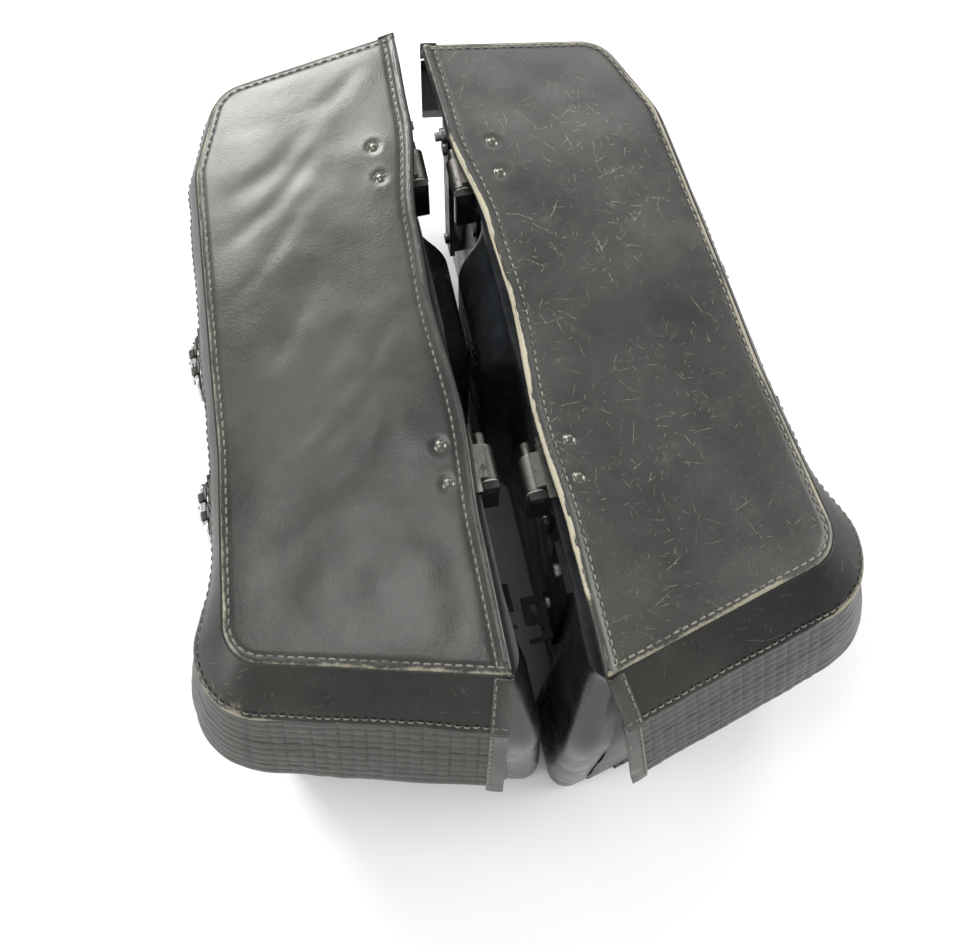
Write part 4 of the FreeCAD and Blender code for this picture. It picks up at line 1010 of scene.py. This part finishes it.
def make_lid_stitches(name, side, seed):
    """The seam's stitching, and the line of stitches beside the rolled edge."""
    seam = SEAM - SEAM_OUT * SEAM_STITCH_INSET
    seam = evenly(seam[3:-3], step=0.003)
    ys = np.linspace(0.006, LENGTH - 0.006, 190)
    edge = np.stack((inner_edge(ys) + EDGE_STITCH_INSET, ys), axis=1)
    up = np.array((side * math.sin(math.atan(FALL)), 0, math.cos(math.atan(FALL))))
    rows = []
    for key, line, pitch, long in (("seam", seam, 0.0078, 0.0062), ("edge", edge, 0.0070, 0.0054)):
        z = lid_height(line, name, seed)
        points = world(side, line[:, 0], line[:, 1], z)
        rows.append(stitches(f"{name}_{key}", points, np.repeat(up[None], len(points), axis=0),
                             THREADS[name], pitch, long, 0.0007))
    finish_piece(join(f"{name}_lid_stitches", rows), f"{name}_lid", "top_leather")


def make_rivets(name, side, seed):
    """Domed rivets with turned rims, sunk in the leather."""
    places = []
    up = (side * math.sin(math.atan(FALL)), 0, math.cos(math.atan(FALL)))
    spots = np.array([(RIVET_A, y) for y in RIVET_YS])
    z = lid_height(spots, name, seed)
    for (a, y), height in zip(spots, z):
        places.append((tuple(world(side, a, y, height - 0.0002)), up))
    profile = ((0.0046, -0.0014), (0.0056, -0.0004), (0.0058, 0.0002), (0.0055, 0.0007), (0.0050, 0.0006),
               (0.0047, 0.0009), (0.0038, 0.0018), (0.0026, 0.0024), (0.0012, 0.0027), (0.0003, 0.00275))
    item = lathe(f"{name}_rivet_heads", profile, places, RIVET_STEEL)
    fix_normals(item)
    finish_piece(item, f"{name}_lid", "rivet_steel", f"{name}_lid_rivets")


# ---- Tub --------------------------------------------------------------------------------

def tub_plan(z):
    """The tub's plan at one height, as a closed line of places with a fixed number of points."""
    levels = np.array(TUB_LEVELS)
    heights = z + np.linspace(-0.016, 0.016, 5)
    nose, bulge, front, out = [np.interp(heights, levels[:, 0], levels[:, k]).mean() for k in (1, 2, 3, 4)]
    (ca, cy, _), (wa, wy, _), (ha, hy, _), (ta, ty, _) = SEAM_CORNERS
    return fillet([(nose, front, 0.018), (ca + out, front + cy, 0.042), (wa + out, wy, 0.150),
                   (ha + out, hy, 0.045), (ta + out / 2, ty + out, 0.028), (WALL_A, LENGTH + out, 0.014),
                   (WALL_A, 0.400, 0.014), (bulge, 0.382, 0.012), (bulge, 0.282, 0.012),
                   (WALL_A, 0.264, 0.014), (WALL_A, 0.066, 0.024), (nose, 0.038, 0.024)], 10, 14, closed=True)


TUB_ZS = np.linspace(0, 0.335, 68)
TUB_PLANS = np.array([tub_plan(max(z, 0.006)) for z in TUB_ZS])


def tub_ring(z, grow):
    """The tub's plan at each column's own height z, moved outward by grow."""
    z = np.broadcast_to(z, TUB_PLANS.shape[1:2])
    spots = np.stack([[np.interp(z[k], TUB_ZS, TUB_PLANS[:, k, axis]) for k in range(len(z))]
                      for axis in (0, 1)], axis=1)
    along = np.roll(spots, -1, axis=0) - np.roll(spots, 1, axis=0)
    out = np.stack((along[:, 1], -along[:, 0]), axis=1)
    out /= np.linalg.norm(out, axis=1)[:, None]
    return spots + out * np.reshape(grow, (-1, 1)), out


def tub_rim():
    """Height of the tub's rim over each column, below the lid's surface."""
    base, _ = tub_ring(0.300, 0)
    return surface_z(base[:, 0], base[:, 1]) - RIM_DEPTH


def make_tub(name, side):
    """The moulded shell: rounded foot, noses and bulge, a rim all round, hollow inside."""
    rim = tub_rim()
    rows = []
    for angle in np.linspace(0, math.pi / 2, 6)[:-1]:
        rows.append((0.006 * (1 - math.cos(angle)), -0.006 * (1 - math.sin(angle))))
    rings = [tub_points(side, z, grow) for z, grow in rows]
    for share in np.linspace(0, 1, 44):
        rings.append(tub_points(side, 0.006 + (rim - 0.006) * share, 0))
    rings.append(tub_points(side, rim + 0.0004, -TUB_WALL / 2))
    for share in np.linspace(1, 0, 16):
        rings.append(tub_points(side, TUB_WALL + (rim - TUB_WALL) * share, -TUB_WALL))
    grid = np.array(rings)
    count = grid.shape[1]
    faces = grid_faces(len(grid), count, wrap_columns=True)
    faces.append(tuple(range(count))[::-1])
    faces.append(tuple((len(grid) - 1) * count + k for k in range(count)))
    item = fix_normals(new_mesh(f"{name}_moulded_tub", grid.reshape(-1, 3), faces,
                                CAD_FINISHES["moulded_plastic"]))
    finish_piece(item, f"{name}_bag", "moulded_plastic", f"{name}_tub")


def tub_points(side, z, grow):
    spots, _ = tub_ring(z, grow)
    return world(side, spots[:, 0], spots[:, 1], z)


def cover_columns():
    base, _ = tub_ring(0.120, 0)
    inside = np.nonzero(base[:, 0] > 0.036)[0]
    return inside[inside < len(base) * 0.6]


def make_tub_cover(name, side, seed):
    """The leather over the outer walls, slightly slack, with a piped foot and sewn ends."""
    rim = tub_rim()
    picked = cover_columns()
    rings = []
    depths = []
    for share in np.linspace(0, 1, 60):
        z = 0.0035 + (rim - 0.0040) * share
        grow = COVER - 0.0045 * (1 - ease((z - 0.002) / 0.007))
        spots, out = tub_ring(z, grow)
        slack = ease((z - 0.012) / 0.05) * ease((0.178 - z) / 0.05)
        dents = cloud(np.stack((spots[:, 0], spots[:, 1], np.broadcast_to(z, rim.shape)), axis=1), 9, seed)
        spots = spots + out * (slack * (0.0016 + 0.0016 * dents))[:, None]
        rings.append(world(side, spots[:, 0], spots[:, 1], z)[picked])
        depths.append(np.broadcast_to(z, rim.shape)[picked])
    top_in, _ = tub_ring(rim, -0.0004)
    rings.append(world(side, top_in[:, 0], top_in[:, 1], rim - 0.0002)[picked])
    depths.append(depths[-1])
    outer = np.array(rings)
    left = outer[:, :1].copy()
    right = outer[:, -1:].copy()
    left[..., 0] -= side * 0.0026
    right[..., 0] -= side * 0.0026
    left[..., 1] += 0.0016
    right[..., 1] -= 0.0016
    grid = np.concatenate((left, outer, right), axis=1)
    wear = 0.25 + 0.30 * np.exp(-((grid[..., 2] - 0.008) / 0.006) ** 2)
    item = grid_object(f"{name}_tub_leather", side, grid, MATERIALS[name]["cover"],
                       values={"wear": wear, "scuff": np.full(wear.shape, 0.5)})
    face_out(item)
    finish_piece(item, f"{name}_bag", "cover_leather", f"{name}_tub_cover")
    foot, _ = tub_ring(0.0085, COVER + 0.0006)
    cord = piping(f"{name}_foot_piping", world(side, foot[:, 0], foot[:, 1], 0.0085)[picked[2:-2]],
                  0.0019, MATERIALS[name]["cover"])
    finish_piece(cord, f"{name}_bag", "cover_leather")
    line, out = tub_ring(0.0145, 0.0024)
    normals = np.stack((side * out[:, 0], out[:, 1], 0 * out[:, 0]), axis=1)
    rows = [stitches(f"{name}_foot_sewn", world(side, line[:, 0], line[:, 1], 0.0145)[picked[2:-2]],
                     normals[picked[2:-2]], THREADS[name], 0.0080, 0.0062)]
    for column in (4, -5):
        line = grid[3:-4, column]
        normal = np.array((side * out[picked[column], 0], out[picked[column], 1], 0))
        rows.append(stitches(f"{name}_end_sewn", line, np.repeat(normal[None], len(line), axis=0),
                             THREADS[name], 0.0080, 0.0062))
    finish_piece(join(f"{name}_tub_stitches", rows), f"{name}_bag", "cover_leather")


def face_out(item):
    """Turns an open sheet's faces away from the middle of its bag."""
    mesh = item.data
    middle = Vector((0, 0, 0))
    for vertex in mesh.vertices:
        middle += vertex.co
    middle /= len(mesh.vertices)
    vote = sum((face.center - middle).dot(face.normal) * face.area for face in mesh.polygons)
    if vote < 0:
        mesh.flip_normals()
    return item


def piping(name, line, radius, material, turns=10):
    """A round cord sewn into a seam, along a line of points."""
    line = np.asarray(line)
    along = np.gradient(line, axis=0)
    along /= np.linalg.norm(along, axis=1)[:, None]
    up = np.array((0, 0, 1.0))
    across = np.cross(along, up)
    across /= np.linalg.norm(across, axis=1)[:, None]
    over = np.cross(across, along)
    angles = np.linspace(0, 2 * math.pi, turns + 1)[:-1]
    grid = np.array([line + radius * (math.cos(t) * across + math.sin(t) * over) for t in angles])
    faces = grid_faces(turns, len(line), wrap_rows=True)
    count = len(line)
    faces.append(tuple(r * count for r in range(turns)))
    faces.append(tuple(r * count + count - 1 for r in range(turns))[::-1])
    return fix_normals(new_mesh(name, grid.reshape(-1, 3), faces, material))


# ---- Straps -----------------------------------------------------------------------------

def seam_at(y):
    """How far outboard the outer seam is at y, and the height of the seam there."""
    side_run = SEAM[(SEAM_OUT[:, 0] > 0.6)]
    a = np.interp(y, side_run[:, 1], side_run[:, 0])
    return a, surface_z(a, y)


def strap_place(y):
    """Where the strap's reach is counted from, and the height its depths are counted from."""
    a, _ = seam_at(y - STRAP_WIDTH / 2)
    _, top = seam_at(y)
    return a + STRAP_GAP, top


STRAP_PATH = ((0.0102, 0.0385), (0.0107, 0.046), (0.0226, 0.136), (0.0210, 0.202))


def strap_reach(depth):
    return float(np.interp(depth, [d for _, d in STRAP_PATH], [r for r, _ in STRAP_PATH]))


def lean_at(depth):
    ahead = strap_reach(depth + 0.002) - strap_reach(depth - 0.002)
    return math.atan2(ahead, 0.004)


def make_straps(name, side):
    across = (0, 1, 0)
    straps, chapes, keepers, sewn, holes = [], [], [], [], []
    skin = MATERIALS[name]["strap"]
    for y in STRAP_YS:
        base, top = strap_place(y)
        depths = np.linspace(STRAP_PATH[0][1], STRAP_PATH[-1][1], 56)
        reach = np.array([np.mean([strap_reach(d + s) for s in (-0.006, -0.003, 0, 0.003, 0.006)])
                          for d in depths])
        line = world(side, base + reach + STRAP_THICK / 2, y, top - depths)
        straps.append(ribbon(f"{name}_strap", line, across, STRAP_WIDTH, STRAP_THICK, skin, taper=0.020))
        outer = world(side, base + reach + STRAP_THICK + 0.0001, y, top - depths)
        face = np.repeat(np.array([(side, 0.0, 0.08)]), len(outer), axis=0)
        for shift in (-STRAP_WIDTH / 2 + 0.0032, STRAP_WIDTH / 2 - 0.0032):
            sewn.append(stitches(f"{name}_strap_sewn", outer[2:-8] + np.array((0, shift, 0)), face[2:-8],
                                 THREADS[name], 0.0062, 0.0047, 0.0005))
        for depth in (0.120, 0.132, 0.144, 0.154):
            spot = world(side, base + strap_reach(depth) + STRAP_THICK, y, top - depth)
            holes.append((tuple(spot), (side, 0, 0.08)))
        heel = np.array((base + strap_reach(BUCKLE_DEPTH) + STRAP_THICK + HEEL_LIFT, top - BUCKLE_DEPTH))
        lean = lean_at(BUCKLE_DEPTH)
        chapes += make_chape(name, side, y, heel, lean, skin)
        reach = strap_reach(KEEPER_DEPTH + KEEPER_TALL / 2)
        keepers.append(make_keeper(name, side, y, base + reach, top - KEEPER_DEPTH - KEEPER_TALL / 2, skin))
    for kind, pieces in (("straps", straps), ("buckle_chapes", chapes), ("strap_keepers", keepers)):
        finish_piece(join(f"{name}_leather_{kind}", pieces), f"{name}_lid", "strap_leather",
                     f"{name}_{kind}")
    finish_piece(join(f"{name}_strap_stitches", sewn), f"{name}_lid", "strap_leather")
    # Flat dark discs at each hole place: painted shade for the holes, which are not cut.
    ring = ((0.0016, 0.0002), (0.0020, 0.0004), (0.0025, 0.0004), (0.0028, 0.0))
    finish_piece(lathe(f"{name}_strap_hole_shades", ring, holes, HOLE_SHADE, 20), f"{name}_lid", "strap_leather")


def make_chape(name, side, y, heel, lean, skin):
    """The loop that holds the buckle's heel bar: a back plate and two lobes over the bar."""
    outward_way = np.array((math.cos(lean), math.sin(lean)))
    down = np.array((math.sin(lean), -math.cos(lean)))

    def spot(reach, drop):
        place = heel + outward_way * reach + down * drop
        return tuple(world(side, place[0], y, place[1]))

    back = -HEEL_LIFT + 0.0012
    plate = [spot(back, drop) for drop in np.linspace(-PRONG_SLOT, -0.027, 6)]
    pieces = [ribbon(f"{name}_chape", plate, (0, 1, 0), CHAPE_WIDTH, 0.0020, skin)]
    wide = (CHAPE_WIDTH - PRONG_ROOM) / 2
    for shift in (-(PRONG_ROOM + wide) / 2, (PRONG_ROOM + wide) / 2):
        cheek = np.array([spot(back, drop) for drop in np.linspace(0.0015, -PRONG_SLOT, 8)])
        pieces.append(ribbon(f"{name}_cheek", cheek + np.array((0, shift, 0)), (0, 1, 0), wide, 0.0020, skin))
    loop_radius = 0.0023 + 0.0004 + 0.0011
    arc = [(loop_radius * math.cos(t), -loop_radius * math.sin(t)) for t in
           np.linspace(-math.pi * 0.62, math.pi * 0.60, 14)]
    tail = [(arc[-1][0] - 0.0004 * k, arc[-1][1] - 0.004 * k) for k in (1, 2, 3, 4, 5)]
    line = [spot(r, d) for r, d in arc + tail]
    for shift in (-0.0080, 0.0080):
        lobe = ribbon(f"{name}_lobe", np.array(line) + np.array((0, shift, 0)), (0, 1, 0), 0.0078, 0.0020, skin)
        pieces.append(lobe)
    return pieces


def make_keeper(name, side, y, a, z, skin):
    """A flat closed loop of leather round the strap."""
    play = 0.0010
    half_deep = STRAP_THICK / 2 + play + 0.0006
    half_wide = STRAP_WIDTH / 2 + play + 0.0008
    middle = a + STRAP_THICK / 2 - 0.0001
    loop = fillet([(middle - half_deep, y - half_wide, 0.0014), (middle + half_deep, y - half_wide, 0.0014),
                   (middle + half_deep, y + half_wide, 0.0014), (middle - half_deep, y + half_wide, 0.0014)],
                  5, 6, closed=True)
    line = world(side, loop[:, 0], loop[:, 1], z)
    return ribbon(f"{name}_keeper", line, (0, 0, 1), KEEPER_TALL, 0.0015, skin, closed=True)


# ---- Carried-over metal and plastic -----------------------------------------------------

def finish_cad_nodes():
    """Gives each CAD node its finish, and the ones that still show, other than buckles and bushes, softly broken
    edges.
    """
    slots = {part["node"]: part["material_slot"] for part in frame["record"]["subparts"]}
    for node, item in frame["nodes"].items():
        finish = CAD_FINISHES.get(slots[node])
        if finish is None:
            finish = MATERIALS[node.split("_")[0]]["strap"]
        item.data.materials.clear()
        item.data.materials.append(finish)
        if item.hide_render or "buckle" in node or "bush" in node:
            continue
        bevel = item.modifiers.new("BrokenEdges", "BEVEL")
        bevel.width = 0.0005
        bevel.segments = 2
        bevel.limit_method = "ANGLE"
        bevel.angle_limit = math.radians(40)


# ---- Floor, lights and camera -----------------------------------------------------------

def look_at(item, target):
    direction = Vector(target) - item.location
    item.rotation_euler = direction.to_track_quat("-Z", "Y").to_euler()


def softbox(name, place, target, wide, tall, power):
    light = bpy.data.lights.new(name, "AREA")
    light.shape = "RECTANGLE"
    light.size = wide
    light.size_y = tall
    light.energy = power
    item = bpy.data.objects.new(name, light)
    item.location = place
    look_at(item, target)
    bpy.context.scene.collection.objects.link(item)


def make_studio():
    floor = new_mesh("Floor", [(-4, -4, 0), (4, -4, 0), (4, 4, 0), (-4, 4, 0)], [(0, 1, 2, 3)],
                     floor_paint("FloorPaint"))
    world_light = bpy.data.worlds.new("Studio")
    world_light.use_nodes = True
    background = world_light.node_tree.nodes["Background"]
    background.inputs["Color"].default_value = (1, 1, 1, 1)
    background.inputs["Strength"].default_value = 0.66
    bpy.context.scene.world = world_light
    bpy.context.scene.view_settings.view_transform = "Standard"
    softbox("RightSide", (3.0, -0.2, 1.5), (0, 0, 0.2), 2.0, 1.6, 62)
    softbox("LeftSide", (-3.2, -0.6, 1.3), (0, 0, 0.2), 2.0, 1.4, 40)
    softbox("RearKey", (-0.95, 2.55, 2.10), (-0.12, 0.16, 0.33), 1.5, 0.9, 84)
    softbox("RearRight", (1.35, 2.5, 2.0), (0.12, 0.16, 0.33), 1.4, 0.9, 18)
    softbox("FrontTop", (-0.75, 0.05, 2.4), (-0.12, -0.18, 0.33), 0.9, 0.5, 9)
    softbox("FrontFill", (0.2, -2.4, 0.9), (0, 0, 0.2), 2.2, 1.2, 9)


def make_camera():
    """The camera high over the woven ends, looking down and rearward."""
    azimuth, elevation, roll = math.radians(-14.0), math.radians(70.5), math.radians(1.75)
    data = bpy.data.cameras.new("Camera")
    data.lens = 47.75
    data.sensor_width = 36
    data.clip_start = 0.05
    item = bpy.data.objects.new("Camera", data)
    forward = Vector((-math.sin(azimuth) * math.cos(elevation), math.cos(azimuth) * math.cos(elevation),
                      -math.sin(elevation)))
    right = forward.cross(Vector((0, 0, 1))).normalized()
    up = right.cross(forward)
    side_way = right * math.cos(roll) + up * math.sin(roll)
    up_way = up * math.cos(roll) - right * math.sin(roll)
    place = Vector((-0.1015, -0.4096, 1.2426))
    item.matrix_world = Matrix((
        (side_way.x, up_way.x, -forward.x, place.x), (side_way.y, up_way.y, -forward.y, place.y),
        (side_way.z, up_way.z, -forward.z, place.z), (0, 0, 0, 1)))
    bpy.context.scene.collection.objects.link(item)
    bpy.context.scene.camera = item


for bag, bag_side in SIDES:
    bag_seed = 2 if bag_side < 0 else 6
    make_lid_top(bag, bag_side, bag_seed)
    make_lid_pad(bag, bag_side)
    make_bead(bag, bag_side, bag_seed)
    make_band(bag, bag_side, bag_seed)
    make_skirt(bag, bag_side, bag_seed)
    make_end_strips(bag, bag_side, bag_seed)
    make_lid_stitches(bag, bag_side, bag_seed)
    make_rivets(bag, bag_side, bag_seed)
    make_tub(bag, bag_side)
    make_tub_cover(bag, bag_side, bag_seed)
    make_straps(bag, bag_side)
finish_cad_nodes()
make_studio()
make_camera()
